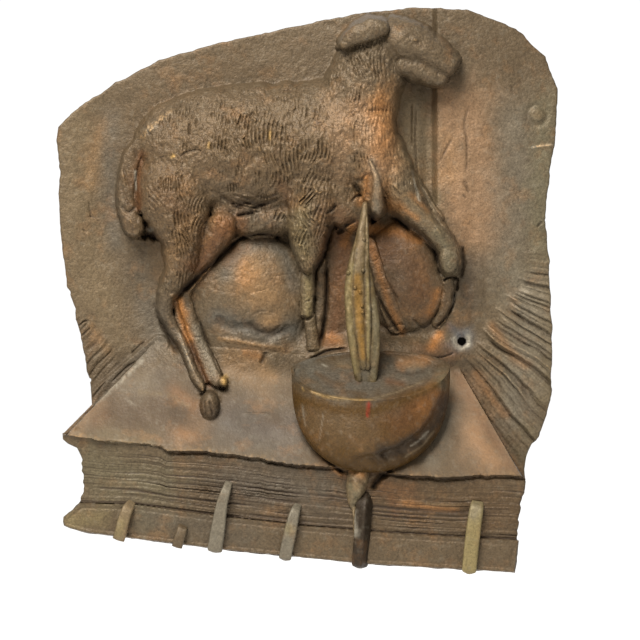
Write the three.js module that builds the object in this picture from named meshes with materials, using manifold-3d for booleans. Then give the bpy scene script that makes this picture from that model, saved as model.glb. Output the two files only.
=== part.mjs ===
// Cast bronze wall relief: a lamb standing on a closed book, its blood falling into a cup.
// Millimetres, +Z up. The flat back lies in the plane y = 0 and the front looks along -Y.
// "Depth" is the distance in front of the back, so y = -depth.
import * as THREE from 'three';
import { mergeVertices } from 'three/addons/utils/BufferGeometryUtils.js';
import Module from 'manifold-3d';

const wasm = await Module();
wasm.setup();

// Driving dimensions

const plateDepth = 12;
const rootDepth = 4; // raised forms run back into the plate to this depth
const eye = { x: 8.4, z: -14, distance: 1500 }; // the relief is laid out as seen from here

const plateOutline = [
  [-151, -73], [-155, -50], [-156, -40], [-163, -14], [-163, -6], [-168, 9],
  [-171, 28], [-174, 60], [-173.5, 88], [-175.5, 112], [-174, 122], [-160, 135],
  [-136, 151], [-104, 168], [-62, 180], [-20, 189], [30, 200], [78, 205], [112, 203],
  [146, 190], [166, 170], [174.5, 148], [173.5, 120], [170, 92], [166, 56], [168.5, 30],
  [171, -25], [170, -70], [163, -90], [155, -101], [152, -114], [152, -124], [120, -126],
];
const fixingHole = { x: 107.5, z: -29, radius: 2.8 };
const rightPanel = { x: 134, z: 76, halfWidth: 54, halfHeight: 150, crown: 17, bulge: 9 };

// Bars are lists of stations: [x, z, crown depth, half width, bulge].
const lamb = {
  torso: [
    [-116, 90, 26, 20, 14], [-98, 97, 39, 38, 25], [-62, 103, 45, 46, 31], [-20, 105, 47, 47, 33],
    [18, 109, 48, 46, 34], [42, 114, 46, 41, 32], [60, 118, 36, 30, 22],
  ],
  neck: [[34, 108, 42, 24, 20], [36, 138, 46, 27, 22], [46, 168, 45, 24, 20], [60, 185, 41, 17, 17]],
  breast: [[38, 132, 50, 21, 18], [43, 108, 52, 19, 18], [45, 88, 50, 13, 14], [46, 71, 46, 7, 9],
    [46, 58, 41, 4, 6]],
  belly: [[-68, 62, 32, 8, 9], [-46, 58, 33, 13, 12], [-24, 57, 33, 13, 12], [-6, 60, 36, 9, 10]],
  nearHindLeg: [
    [-94, 110, 38, 27, 20], [-93, 76, 46, 27.5, 20], [-90, 56, 45, 21.5, 16], [-87.5, 40, 42, 13.5, 12],
    [-89.6, 22, 36, 10.4, 8], [-94.5, 10.5, 32, 8.6, 7], [-99.8, -5, 27, 5.8, 5], [-94, -20, 26, 3.9, 4.5],
    [-88, -30, 28, 3.4, 4], [-79.1, -52.5, 36, 3.2, 4], [-73, -64, 43, 3.8, 4],
  ],
  farHindLeg: [
    [-52, 57, 30, 7, 6], [-62, 46, 28, 9, 7], [-72, 32, 26, 8, 6], [-82, 16, 24, 5.5, 5],
    [-87, 4, 23, 4.6, 4], [-80.3, -20, 24, 5.4, 4], [-74.4, -35, 26, 5.6, 4], [-67.4, -50, 32, 5.4, 4],
    [-61.6, -60.5, 38, 4.6, 4],
  ],
  nearForeleg: [
    [8, 86, 46, 20, 15], [3, 66, 47, 18, 15], [0.8, 48, 45, 14.6, 13], [1.2, 35, 41, 11, 9],
    [0.8, 26, 38, 7.2, 7], [-0.4, 18, 35, 3.2, 4],
  ],
  nearCannon: [[0, 22, 30, 4.4, 5], [-0.3, 4, 30, 4.7, 5], [-0.6, -13, 31, 4.2, 5]],
  cannonSide: [[10, 30, 31, 3.2, 4], [8.5, 0, 26.5, 3.6, 4], [6, -26, 28, 3, 4]],
  nearPastern: [[1, -9, 28, 4, 4], [5, -38, 33, 4.6, 4]],
  raisedLeg: [
    [46, 122, 38, 12, 12], [52, 102, 44, 16, 16], [61, 82, 44, 14.5, 15], [73, 64, 40, 11, 12],
    [86, 50, 37, 8.6, 10], [97, 38, 34, 8.2, 8], [99.5, 27, 32, 7.8, 7], [98.5, 16, 29, 6.4, 6],
  ],
  raisedCannon: [[98, 18, 28, 4.6, 6], [98.5, 4, 26, 4.2, 5], [95.5, -9, 25, 3.6, 4], [89, -19, 25, 2.8, 4]],
  skull: [[52, 184, 44, 14, 15], [67, 182, 46, 15.5, 16], [82, 175, 45, 13, 14], [95, 167, 43, 10, 12],
    [104, 161, 40, 7.5, 9]],
  jaw: [[62, 168, 40, 9, 10], [80, 161, 40, 8.5, 9], [98, 154, 37, 6, 7]],
  ear: [[57, 190, 50, 4, 4], [45, 190, 52, 7, 4], [32, 184, 50, 6, 4], [22, 177, 47, 2.5, 3]],
};
const nearHoof = { x: -68.8, z: -74.7, halfWidth: 6.8, halfHeight: 10.4, crown: 49, bulge: 7 };
const farHoof = { x: -59.6, z: -57.5, halfWidth: 3.4, halfHeight: 3.4, crown: 39, bulge: 4 };
const eyeball = { x: 75, z: 182, halfWidth: 3, halfHeight: 2.4, crown: 47, bulge: 4 };
const tail = [
  [-110, 117, 27, 4, 3], [-118, 107, 27, 5.4, 3], [-124.6, 96, 27, 5.8, 3], [-127, 82, 28, 5.9, 3.5],
  [-126.8, 68, 29, 6, 4], [-125.2, 59, 30, 6.4, 5], [-121.5, 51, 31, 6.8, 6], [-119.5, 43.5, 31, 4.6, 5],
];

// Locks of fleece: rows along a bar, locks across it, length, width and height of one lock
const fleece = [
  { bar: 'torso', rows: 10, across: 5, from: 0.12, to: 0.95, lean: 0.35 },
  { bar: 'nearHindLeg', rows: 4, across: 3, from: 0.1, to: 0.42, lean: -0.25 },
  { bar: 'nearForeleg', rows: 4, across: 3, from: 0.1, to: 0.86, lean: 0.3 },
  { bar: 'breast', rows: 3, across: 3, from: 0.1, to: 0.62, lean: -0.3 },
  { bar: 'neck', rows: 3, across: 4, from: 0.2, to: 0.9, lean: 0.2 },
];
const lock = { length: 13, width: 5, height: 2.6, sunk: 1.2 };

// Ground behind the lamb, and the swelling shapes between its legs
const swells = [
  { x: -41, z: 3, halfWidth: 44, halfHeight: 44, crown: 27, bulge: 14 },
  { x: 67, z: 16, halfWidth: 29, halfHeight: 39, crown: 26, bulge: 12 },
  { x: 22, z: 10, halfWidth: 20, halfHeight: 62, crown: 19, bulge: 8 },
  { x: -36, z: -34, halfWidth: 60, halfHeight: 18, crown: 22, bulge: 11 },
  { x: 46, z: -40, halfWidth: 66, halfHeight: 17, crown: 33, bulge: 18 },
];

// Book
const coverBack = { depth: 13, left: [-108, -30], right: [105, -46] };
const coverFront = {
  depth: 59,
  points: [
    [152, -123.4], [121.8, -122.2], [93, -123.9], [60, -122], [2, -116], [-65, -107], [-98.5, -105.2],
    [-104, -101.8], [-148.5, -98], [-172, -94],
  ],
};
const coverLip = 6; // height of the cover's turned-down front edge
const pages = {
  depth: 53,
  lines: 9,
  groove: { width: 1.6, depth: 1.8 },
  outline: [[-163, -99], [-158, -112], [-157, -130], [-160, -143], [-158, -152], [148, -176], [150, -122]],
};
const lowerBoard = {
  depth: 59,
  outline: [
    [-159, -143], [-170, -149.5], [-172, -154], [-169, -159], [-156, -163], [-60, -175], [40, -185],
    [145, -191], [148, -168], [60, -163], [0, -158], [-68, -151], [-120, -143.5],
  ],
};
const ribbons = [
  { top: [-122.5, -141], bottom: [-133, -168.5], width: 8.6 },
  { top: [-86.5, -157], bottom: [-92, -173.5], width: 7.4 },
  { top: [-55, -127], bottom: [-65.5, -177], width: 9.6 },
  { top: [-6.5, -143], bottom: [-16.5, -182.5], width: 8.6 },
  { top: [41.5, -134], bottom: [36, -188], width: 8.8 },
  { top: [119, -141], bottom: [112.5, -192], width: 10.2 },
];
const ribbonDepth = { from: 40, to: 64 };

// Cup, filled to just below its rim, and the blood falling into it
const cup = {
  x: 44, z: -47, depth: 46, radius: 55.5, height: 68, bottomDepth: 52,
  forward: { depth: 28, z: 24 }, backward: { depth: 16, z: 13 }, tilt: 0.02, fullness: 3,
  rim: 0.955, fill: 0.97,
};
const drip = [
  [36, -116, 60, 7, 6], [34.8, -125, 63, 7.6, 7], [33.2, -133, 63.5, 6.8, 7], [31.8, -141, 61, 4.2, 5],
  [32.4, -152, 59, 1.4, 3],
];
const stream = [
  [43, 84, 47, 3, 3], [39.5, 56, 51, 3, 3], [36.5, 38, 56, 5, 3.5], [35, 22, 58, 7.2, 4],
  [36, 6, 60, 8.8, 4], [38, -10, 61, 10, 4], [39.5, -24, 61, 9.8, 4], [41.5, -40, 60, 8.4, 4.5],
  [43.5, -58, 59, 6.5, 5],
];
const sideStrand = [
  [43, 44, 29, 2.6, 2], [49, 22, 30, 4, 2.5], [55.5, 0, 30, 5.2, 2.5], [65, -24, 32, 5, 2.5],
];

// Rays: ridges on the plate's lower corners
const rightRays = { x: 38, z: 45, inner: 111, outer: 196, first: 5, last: 58, count: 17 };
const leftRays = {
  count: 6, start: [-176, -29], startStep: [2.2, -9.2], end: [-146, -12], endStep: [6.2, -4.8],
};
const ray = { width: 4.6, height: 3.6 };

// Solids from geometries

function solidOf(geometry) {
  const bare = geometry.clone();
  bare.deleteAttribute('normal');
  bare.deleteAttribute('uv');
  const merged = mergeVertices(bare, 1e-4);
  const index = Uint32Array.from(merged.index.array);
  const corners = Float32Array.from(merged.attributes.position.array);
  const kept = [];
  for (let i = 0; i < index.length; i += 3) {
    const [a, b, c] = [index[i], index[i + 1], index[i + 2]];
    if (a !== b && b !== c && a !== c) kept.push(a, b, c);
  }
  const triVerts = Uint32Array.from(kept);
  if (volumeOf(corners, triVerts) < 0) triVerts.reverse();
  return new wasm.Manifold(new wasm.Mesh({ numProp: 3, vertProperties: corners, triVerts }));
}

// Six times the signed volume: the sum of the triple products of each triangle's corners
function volumeOf(corners, triangles) {
  const [a, b, c] = [new THREE.Vector3(), new THREE.Vector3(), new THREE.Vector3()];
  let sum = 0;
  for (let i = 0; i < triangles.length; i += 3) {
    a.fromArray(corners, 3 * triangles[i]);
    b.fromArray(corners, 3 * triangles[i + 1]);
    c.fromArray(corners, 3 * triangles[i + 2]);
    sum += a.dot(b.cross(c));
  }
  return sum;
}

function joined(solids) {
  return solids.reduce((whole, next) => whole.add(next));
}

function moved(geometry, place) {
  const position = geometry.attributes.position;
  const point = new THREE.Vector3();
  for (let i = 0; i < position.count; i += 1) {
    point.fromBufferAttribute(position, i);
    place(point);
    position.setXYZ(i, point.x, point.y, point.z);
  }
  return geometry;
}

// An outline in x and z, filled from one depth to another
function slab(outline, from, to) {
  const shape = new THREE.Shape(outline.map(([x, z]) => new THREE.Vector2(x, z)));
  const geometry = new THREE.ExtrudeGeometry(shape, { depth: to - from, bevelEnabled: false });
  return moved(geometry, (p) => p.set(p.x, -from - p.z, p.y));
}

// Bars

// A smooth path through the stations, and the point of the section at a share of the way along it.
// across runs from -1 to 1 over the width and rise from 0 at the sides to 1 at the crown.
function carried(stations) {
  const crowns = stations.map(([x, z, crown]) => new THREE.Vector3(x, -crown, z));
  const sizes = stations.map(([, , , half, bulge]) => new THREE.Vector3(half, bulge, 0));
  const path = new THREE.CatmullRomCurve3(crowns);
  const size = new THREE.CatmullRomCurve3(sizes);
  path.curveType = 'catmullrom';
  size.curveType = 'catmullrom';
  return (share) => {
    const crown = path.getPoint(share);
    const { x: half, y: bulge } = size.getPoint(share);
    const along = path.getTangent(share);
    const sideways = new THREE.Vector3(along.z, 0, -along.x).normalize();
    const at = (across, rise) => crown.clone()
      .addScaledVector(sideways, across * half)
      .add(new THREE.Vector3(0, (1 - rise) * bulge, 0));
    return { at, along, sideways, half, bulge };
  };
}

// A ball drawn out along the stations: round in front, with straight walls back to the root depth.
// With no root the back is round as well.
function bar(stations, { root = rootDepth, ends = 0.16 } = {}) {
  const isThick = stations.some(([, , , half]) => half > 12);
  const sides = isThick ? 10 : 8;
  const rows = 2 * stations.length;
  const section = carried(stations);
  const geometry = new THREE.SphereGeometry(1, sides, rows);
  moved(geometry, (p) => {
    const share = Math.acos(THREE.MathUtils.clamp(p.y, -1, 1)) / Math.PI;
    const toEnd = Math.max(0, (Math.abs(2 * share - 1) - 1 + ends) / ends);
    const cap = Math.sqrt(Math.max(0, 1 - toEnd * toEnd));
    const ring = Math.hypot(p.x, p.z);
    const across = ring > 1e-6 ? p.x / ring : 0;
    const rise = ring > 1e-6 ? p.z / ring : 0;
    const { at } = section(share);
    if (rise > -1e-6 || root === null) {
      p.copy(at(across * cap, rise * cap));
    } else {
      p.copy(at(THREE.MathUtils.clamp(across * 1.4, -1, 1) * cap, 0));
      p.y = -root;
    }
  });
  return geometry;
}

// Half an ellipsoid standing on straight walls
function dome({ x, z, halfWidth, halfHeight, crown, bulge }, sides = 14, rows = 8) {
  const geometry = new THREE.SphereGeometry(1, sides, rows);
  return moved(geometry, (p) => {
    const depth = p.y > -1e-6 ? crown - bulge * (1 - p.y) : rootDepth;
    p.set(x + halfWidth * p.x, -depth, z + halfHeight * p.z);
  });
}

// A spindle-shaped lock on the surface of a bar, turned from the bar's direction by a lean
function lockOn(section, share, across, lean) {
  const rise = Math.sqrt(1 - across * across);
  const { at, along, sideways, half, bulge } = section(share);
  const outward = sideways.clone().multiplyScalar(across / half).add(new THREE.Vector3(0, -rise / bulge, 0));
  outward.normalize();
  const forward = along.clone().applyAxisAngle(outward, lean);
  forward.addScaledVector(outward, -forward.dot(outward)).normalize();
  const beside = outward.clone().cross(forward);
  const geometry = new THREE.OctahedronGeometry(1, 0);
  geometry.scale(lock.length / 2, lock.width / 2, lock.height);
  geometry.applyMatrix4(new THREE.Matrix4().makeBasis(forward, beside, outward));
  const place = at(across, rise).addScaledVector(outward, -lock.sunk);
  return geometry.translate(place.x, place.y, place.z);
}

function fleeceLocks() {
  const locks = [];
  for (const { bar: name, rows, across, from, to, lean } of fleece) {
    const section = carried(lamb[name]);
    for (let row = 0; row < rows; row += 1) {
      for (let i = 0; i < across; i += 1) {
        const sway = Math.sin(2.3 * row + 1.7 * i);
        const share = from + (to - from) * (row + 0.5 * (i % 2) + 0.15 * sway) / rows;
        const offset = -0.84 + 1.68 * (i + 0.5 + 0.16 * sway) / across;
        locks.push(lockOn(section, share, offset, Math.PI / 2 * (name === 'torso') + lean * sway));
      }
    }
  }
  return locks;
}

// Book

// The cover slopes forward from the plate to its front edge, which is turned down by the lip.
function bookCover() {
  const back = [coverBack.left, coverBack.right];
  const top = slab([...back, ...coverFront.points], 0, 1);
  moved(top, (p) => {
    const isBack = back.some(([x, z]) => x === p.x && z === p.z);
    if (p.y > -0.5) p.y = 0;
    else p.y = isBack ? -coverBack.depth : -coverFront.depth;
  });
  const below = coverFront.points.map(([x, z]) => [x * 0.985, z - coverLip]).reverse();
  const lip = slab([...coverFront.points, ...below], 0, coverFront.depth - 2);
  return [top, lip];
}

// A wedge with its sharp edge in front, from one point of the face to another
function wedge([x0, z0], [x1, z1], width, from, to) {
  const length = Math.hypot(x1 - x0, z1 - z0);
  const corners = [[-width / 2, 0], [width / 2, 0], [0, 1]];
  const outline = new THREE.Shape(corners.map(([u, v]) => new THREE.Vector2(u, v)));
  const geometry = new THREE.ExtrudeGeometry(outline, { depth: length, bevelEnabled: false });
  const [alongX, alongZ] = [(x1 - x0) / length, (z1 - z0) / length];
  return moved(geometry, (p) => {
    p.set(x0 + alongX * p.z - alongZ * p.x, -from - (to - from) * p.y, z0 + alongZ * p.z + alongX * p.x);
  });
}

function pageBlock() {
  const block = solidOf(slab(pages.outline, 0, pages.depth));
  const grooves = [];
  for (let i = 0; i < pages.lines; i += 1) {
    const share = (i + 0.5) / pages.lines;
    const left = [-175, THREE.MathUtils.lerp(-104, -144, share)];
    const right = [160, THREE.MathUtils.lerp(-131, -170, share)];
    const bottom = pages.depth - pages.groove.depth;
    grooves.push(solidOf(wedge(left, right, pages.groove.width, pages.depth + 0.5, bottom)));
  }
  return block.subtract(joined(grooves));
}

// A strap from between the pages down over the lower board, bent a third of the way down
function ribbon({ top: [x0, z0], bottom: [x1, z1], width }) {
  const bend = [x0 - 0.35 * (x0 - x1), z0 - 0.3 * (z0 - z1)];
  const half = width / 2;
  const outline = [
    [x0 + half, z0 - 1], [x0, z0 + 1], [bend[0] - half, bend[1] + 2], [x1 - half, z1], [x1 + half, z1],
    [bend[0] + half, bend[1]],
  ];
  return slab(outline, ribbonDepth.from, ribbonDepth.to);
}

// Cup

// A bowl turned about an upright axis, then pushed so that its rim leans towards the viewer
function bowl() {
  const profile = [];
  const steps = 8;
  for (let i = 0; i <= steps; i += 1) {
    const height = (i / steps) ** 1.8;
    profile.push(new THREE.Vector2((1 - (1 - height) ** cup.fullness) ** 0.5, height));
  }
  profile[0].x = 0;
  const inside = [[cup.rim, 1], [cup.rim - 0.01, cup.fill], [0, cup.fill]];
  profile.push(...inside.map(([radius, height]) => new THREE.Vector2(radius, height)));
  const geometry = new THREE.LatheGeometry(profile, 24);
  return moved(geometry, (p) => {
    const lean = p.z > 0 ? cup.forward : cup.backward;
    const middleDepth = THREE.MathUtils.lerp(cup.bottomDepth, cup.depth, p.y);
    const middleZ = cup.z - cup.height * (1 - p.y);
    const sideways = cup.radius * p.x;
    p.set(cup.x + sideways, -middleDepth - lean.depth * p.z, middleZ - lean.z * p.z + cup.tilt * sideways);
  });
}

// Rays

function rays() {
  const ridges = [];
  for (let i = 0; i < rightRays.count; i += 1) {
    const below = THREE.MathUtils.lerp(rightRays.first, rightRays.last, i / (rightRays.count - 1));
    const angle = -THREE.MathUtils.degToRad(below);
    const inner = rightRays.inner + 5 * Math.sin(5 * i);
    const [along, up] = [Math.cos(angle), Math.sin(angle)];
    const start = [rightRays.x + inner * along, rightRays.z + inner * up];
    const end = [rightRays.x + rightRays.outer * along, rightRays.z + rightRays.outer * up];
    ridges.push(wedge(start, end, ray.width, rootDepth, plateDepth + ray.height));
  }
  for (let i = 0; i < leftRays.count; i += 1) {
    const start = leftRays.start.map((value, axis) => value + leftRays.startStep[axis] * i);
    const end = leftRays.end.map((value, axis) => value + leftRays.endStep[axis] * i);
    ridges.push(wedge(start, end, ray.width + 1, rootDepth, plateDepth + ray.height));
  }
  return ridges;
}

// Whole casting

function casting() {
  const plate = solidOf(slab(plateOutline, 0, plateDepth));
  const overPlate = solidOf(slab(plateOutline, 0, 100));
  const onPlate = joined([dome(rightPanel, 20, 6), ...rays()].map(solidOf)).intersect(overPlate);
  const figure = Object.values(lamb).map((stations) => bar(stations));
  const forms = [
    ...figure, ...fleeceLocks(), dome(nearHoof, 10, 6), dome(farHoof, 8, 6), dome(eyeball, 8, 4),
    bar(tail), ...swells.map((swell) => dome(swell)), ...bookCover(),
    slab(lowerBoard.outline, 0, lowerBoard.depth), ...ribbons.map(ribbon), bowl(), bar(drip),
    bar(stream, { root: null }), bar(sideStrand),
  ];
  const drill = new THREE.CylinderGeometry(fixingHole.radius, fixingHole.radius, 120, 16);
  drill.translate(fixingHole.x, -30, fixingHole.z);
  const whole = joined([plate, onPlate, pageBlock(), ...forms.map(solidOf)]).subtract(solidOf(drill));
  const { vertProperties, triVerts } = whole.getMesh();
  const geometry = new THREE.BufferGeometry();
  geometry.setAttribute('position', new THREE.BufferAttribute(vertProperties, 3));
  geometry.setIndex(new THREE.BufferAttribute(triVerts, 1));
  return drawnIn(geometry);
}

// What stands nearer to the eye is drawn in towards the line of sight, so that it still covers its place
function drawnIn(geometry) {
  moved(geometry, (p) => {
    const share = (eye.distance + p.y) / (eye.distance - plateDepth);
    p.x = eye.x + (p.x - eye.x) * share;
    p.z = eye.z + (p.z - eye.z) * share;
  });
  geometry.computeVertexNormals();
  return geometry;
}

const bronze = new THREE.MeshStandardMaterial({ color: 0x735b42, roughness: 0.55, metalness: 0.8 });
const plaque = new THREE.Mesh(casting(), bronze);
plaque.name = 'relief_plaque';

const part = new THREE.Group();
part.add(plaque);

export default part;
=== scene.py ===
import math
import bmesh
import bpy
import numpy as np
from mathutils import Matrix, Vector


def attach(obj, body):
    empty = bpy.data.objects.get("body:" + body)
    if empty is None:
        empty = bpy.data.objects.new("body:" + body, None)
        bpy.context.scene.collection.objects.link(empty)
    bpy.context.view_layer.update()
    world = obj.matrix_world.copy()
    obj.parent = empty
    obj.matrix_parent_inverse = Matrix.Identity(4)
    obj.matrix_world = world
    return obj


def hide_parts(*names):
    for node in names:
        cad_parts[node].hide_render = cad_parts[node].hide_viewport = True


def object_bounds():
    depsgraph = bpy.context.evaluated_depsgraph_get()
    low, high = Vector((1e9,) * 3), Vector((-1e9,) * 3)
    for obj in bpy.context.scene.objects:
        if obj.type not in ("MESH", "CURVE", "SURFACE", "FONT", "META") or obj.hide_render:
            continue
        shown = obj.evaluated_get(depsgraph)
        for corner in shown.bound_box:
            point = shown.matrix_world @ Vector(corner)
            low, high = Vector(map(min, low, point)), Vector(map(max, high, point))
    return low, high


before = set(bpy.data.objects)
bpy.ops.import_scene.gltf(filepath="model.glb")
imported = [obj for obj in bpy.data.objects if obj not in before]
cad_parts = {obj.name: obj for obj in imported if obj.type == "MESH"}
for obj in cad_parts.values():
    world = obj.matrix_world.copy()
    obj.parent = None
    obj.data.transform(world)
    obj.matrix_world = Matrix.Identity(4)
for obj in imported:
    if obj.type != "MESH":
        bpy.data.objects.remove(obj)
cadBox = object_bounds()
print("frame loaded")

# All sizes are millimetres until a mesh is made. u is to the right and w is up, as seen from the eye
# in front of the relief, at the plate's face; depth is measured forwards from the flat back.
millimetre = 0.001
eye = {"u": 8.4, "w": -14.0, "distance": 1500.0, "plateDepth": 12.0, "millimetresPerPixel": 0.70}


# Working fields

# Smoothstep: 0 below low, 1 above high, and 3x^2 - 2x^3 between.
def softStep(low, high, value):
    share = np.clip((value - low) / (high - low), 0.0, 1.0)
    return share * share * (3.0 - 2.0 * share)


# The larger of two depths, with a fillet of the given reach where they cross.
def softMax(a, b, reach):
    share = np.clip(0.5 + 0.5 * (a - b) / reach, 0.0, 1.0)
    return b + (a - b) * share + reach * share * (1.0 - share)


# Seeded lattice values between -1 and 1, blended inside each cell by the smoothstep of the place in it.
def softNoise(u, w, cell, seed):
    lattice = np.random.default_rng(seed).uniform(-1.0, 1.0, (128, 128))
    a = u / cell + 512.0
    b = w / cell + 512.0
    i = np.floor(a).astype(int)
    j = np.floor(b).astype(int)
    fa = softStep(0.0, 1.0, a - i)
    fb = softStep(0.0, 1.0, b - j)
    i0, i1, j0, j1 = i % 128, (i + 1) % 128, j % 128, (j + 1) % 128
    low = lattice[j0, i0] * (1.0 - fa) + lattice[j0, i1] * fa
    high = lattice[j1, i0] * (1.0 - fa) + lattice[j1, i1] * fa
    return low * (1.0 - fb) + high * fb


# Sum of noises, each given by its amount, cell and seed.
def layered(u, w, *layers):
    return sum(amount * softNoise(u, w, cell, seed) for amount, cell, seed in layers)


# Gaussian blur of a field of the given radius in samples, by its product with the transform.
def blurred(field, radius):
    pad = int(radius * 3) + 2
    wide = np.pad(field, pad, mode="edge")
    ky = np.fft.fftfreq(wide.shape[0])[:, None]
    kx = np.fft.rfftfreq(wide.shape[1])[None, :]
    fade = np.exp(-2.0 * (math.pi * radius) ** 2 * (kx * kx + ky * ky))
    soft = np.fft.irfft2(np.fft.rfft2(wide) * fade, s=wide.shape)
    return soft[pad:-pad, pad:-pad]


# Catmull-Rom curve through the rows of a table, at count even shares of its length in rows.
def smoothThrough(rows, count):
    points = np.asarray(rows, float)
    ends = np.vstack([2.0 * points[0] - points[1], points, 2.0 * points[-1] - points[-2]])
    share = np.linspace(0.0, len(points) - 1.0, count)
    first = np.minimum(share.astype(int), len(points) - 2)
    t = (share - first)[:, None]
    a, b, c, d = (ends[first + k] for k in range(4))
    return 0.5 * (2.0 * b + (c - a) * t + (2.0 * a - 5.0 * b + 4.0 * c - d) * t ** 2
                  + (3.0 * b - a - 3.0 * c + d) * t ** 3)


# Distance from every sample to a polyline, with the share of the way along it at the nearest point.
def nearestOnPath(u, w, path):
    best = np.full(u.shape, 1e9)
    share = np.zeros(u.shape)
    for k in range(len(path) - 1):
        du, dw = path[k + 1, :2] - path[k, :2]
        t = ((u - path[k, 0]) * du + (w - path[k, 1]) * dw) / max(du * du + dw * dw, 1e-9)
        t = np.clip(t, 0.0, 1.0)
        gap = np.hypot(u - path[k, 0] - t * du, w - path[k, 1] - t * dw)
        closer = gap < best
        best = np.where(closer, gap, best)
        share = np.where(closer, (k + t) / (len(path) - 1), share)
    return best, share


# Signed distance to a closed outline: to its nearest edge, negative where the crossing count is odd.
def outlineDistance(u, w, outline):
    points = np.asarray(outline, float)
    loop = np.vstack([points, points[:1]])
    gap, _ = nearestOnPath(u, w, loop)
    odd = np.zeros(u.shape, bool)
    for (u0, w0), (u1, w1) in zip(loop[:-1], loop[1:]):
        if w0 != w1:
            crosses = ((w0 > w) != (w1 > w)) & (u < (u1 - u0) * (w - w0) / (w1 - w0) + u0)
            odd ^= crosses
    return np.where(odd, -gap, gap)


# Rows and columns of the grid that lie within reach of some points.
def windowOf(grid, points, reach):
    points = np.asarray(points, float)
    spans = []
    for axis, line in ((1, grid["rows"]), (0, grid["columns"])):
        low = np.searchsorted(line, points[:, axis].min() - reach)
        high = np.searchsorted(line, points[:, axis].max() + reach)
        spans.append(slice(low, max(high, low + 2)))
    return tuple(spans)


# Layout to the frame: what stands nearer is drawn in towards the line of sight by (distance - depth)
# over (distance - plate depth), and depth becomes -y.
def inFrame(u, w, depth):
    share = (eye["distance"] - depth) / (eye["distance"] - eye["plateDepth"])
    x = eye["u"] + (u - eye["u"]) * share
    z = eye["w"] + (w - eye["w"]) * share
    return np.stack(np.broadcast_arrays(x, -depth, z), axis=-1) * millimetre


# The way back from the frame to u, w and depth.
def outOfFrame(points):
    depth = -points[:, 1] / millimetre
    share = (eye["distance"] - depth) / (eye["distance"] - eye["plateDepth"])
    u = eye["u"] + (points[:, 0] / millimetre - eye["u"]) / share
    w = eye["w"] + (points[:, 2] / millimetre - eye["w"]) / share
    return u, w, depth


# Plate

plate = {
    "outline": [
        (-151, -73), (-151.5, -61), (-155, -50), (-156, -40), (-160, -21), (-163, -14), (-163, -6),
        (-166, 3), (-169, 10), (-171, 28), (-173.3, 50), (-174.5, 74), (-173.5, 88), (-175.5, 112),
        (-174.5, 121), (-171, 126), (-160, 135), (-136, 151), (-104, 168), (-62, 180), (-20, 189),
        (30, 200), (78, 205), (112, 203), (146, 190), (166, 170), (174.5, 148), (174, 132),
        (173, 114), (170, 92), (167.5, 74), (166, 56), (167, 47), (168.5, 28), (169.8, 0),
        (171, -25), (171.2, -42), (170, -70), (167, -80), (162.5, -94), (159.6, -98), (156.8, -100.3),
        (153.2, -109.6), (151.5, -118), (152, -126), (120, -128), (-40, -112), (-120, -100),
    ],
    "edgeRound": 1.3,
    "edgeWobble": [(0.6, 9.0, 81), (0.3, 3.0, 82)],     # noises: amount, cell and seed
    "uneven": [(0.9, 48.0, 11), (0.45, 15.0, 12)],
    "chips": [(-169.5, 5.5, 3.0), (-175.5, 87, 1.6), (168, 55.5, 2.0), (-153, -56, 1.5)],
    "hole": {"u": 107.5, "w": -29.0, "radius": 2.8, "sink": 6.0, "floor": 1.0},
    # u, w, half sizes and how far the field sinks there
    "hollows": [
        (-140, 70, 12, 62, 2.6), (-120, 6, 18, 34, 3.2), (70, 118, 7, 58, 2.0), (84, 118, 6, 60, 3.4),
        (-136, 128, 16, 16, 1.2), (122, -12, 14, 20, 1.6), (150, 60, 20, 60, -0.8), (-166, 60, 9, 70, -1.0),
        (111, 24, 5, 26, 3.0), (116, 30, 3, 40, 0.8), (124, 15, 3, 22, 0.7),
    ],
    "panel": {"edge": (86.5, 91.0), "fall": (108.0, 172.0), "rise": 5.5, "foot": (-50.0, 30.0)},
    "boss": {"u": 160.5, "w": 129.5, "radius": 4.6, "rise": 1.6},
    "ledge": {"from": (-152, -73), "to": (-104, -31), "width": 7.0, "rise": 2.6},
}

# Rays: noises of the sway, and pleats as share, spacing, share of the sway and seed
rightRays = {
    "u": 38.0, "w": 45.0, "first": 3.0, "last": 60.0, "rise": 7.6, "sink": 1.8,
    "inner": [(154, 40), (152, 26), (148, 13), (139, 0), (129, -9), (125.5, -20), (119, -28), (112, -35),
              (104, -43)],
    "sway": [(0.4, 26.0, 22), (0.1, 8.0, 28)],
    "pleats": [(0.65, 5.6, 1.0, 23), (0.3, 2.3, 1.5, 31), (0.15, 1.2, 2.0, 24)],
    "scratch": (1.3, 2.0, 30),
    "calm": [(58.0, 44.0, 0.4), (6.0, 26.0, 0.45)],     # turn where it is calm, where it is full, least share
}
leftRays = {
    "lean": 49.0, "rise": 1.7, "sink": 0.6,
    "area": [(-166, -8), (-155, -14), (-146, -20), (-140, -29), (-134, -38), (-131, -43), (-138, -52),
             (-152, -78), (-168, -40)],
    "sway": [(0.3, 16.0, 25)],
    "pleats": [(0.7, 6.2, 1.0, 26), (0.3, 2.3, 1.0, 27)],
}

# Lamb: bars are lists of stations [u, w, crown depth, half width, bulge]

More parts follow.
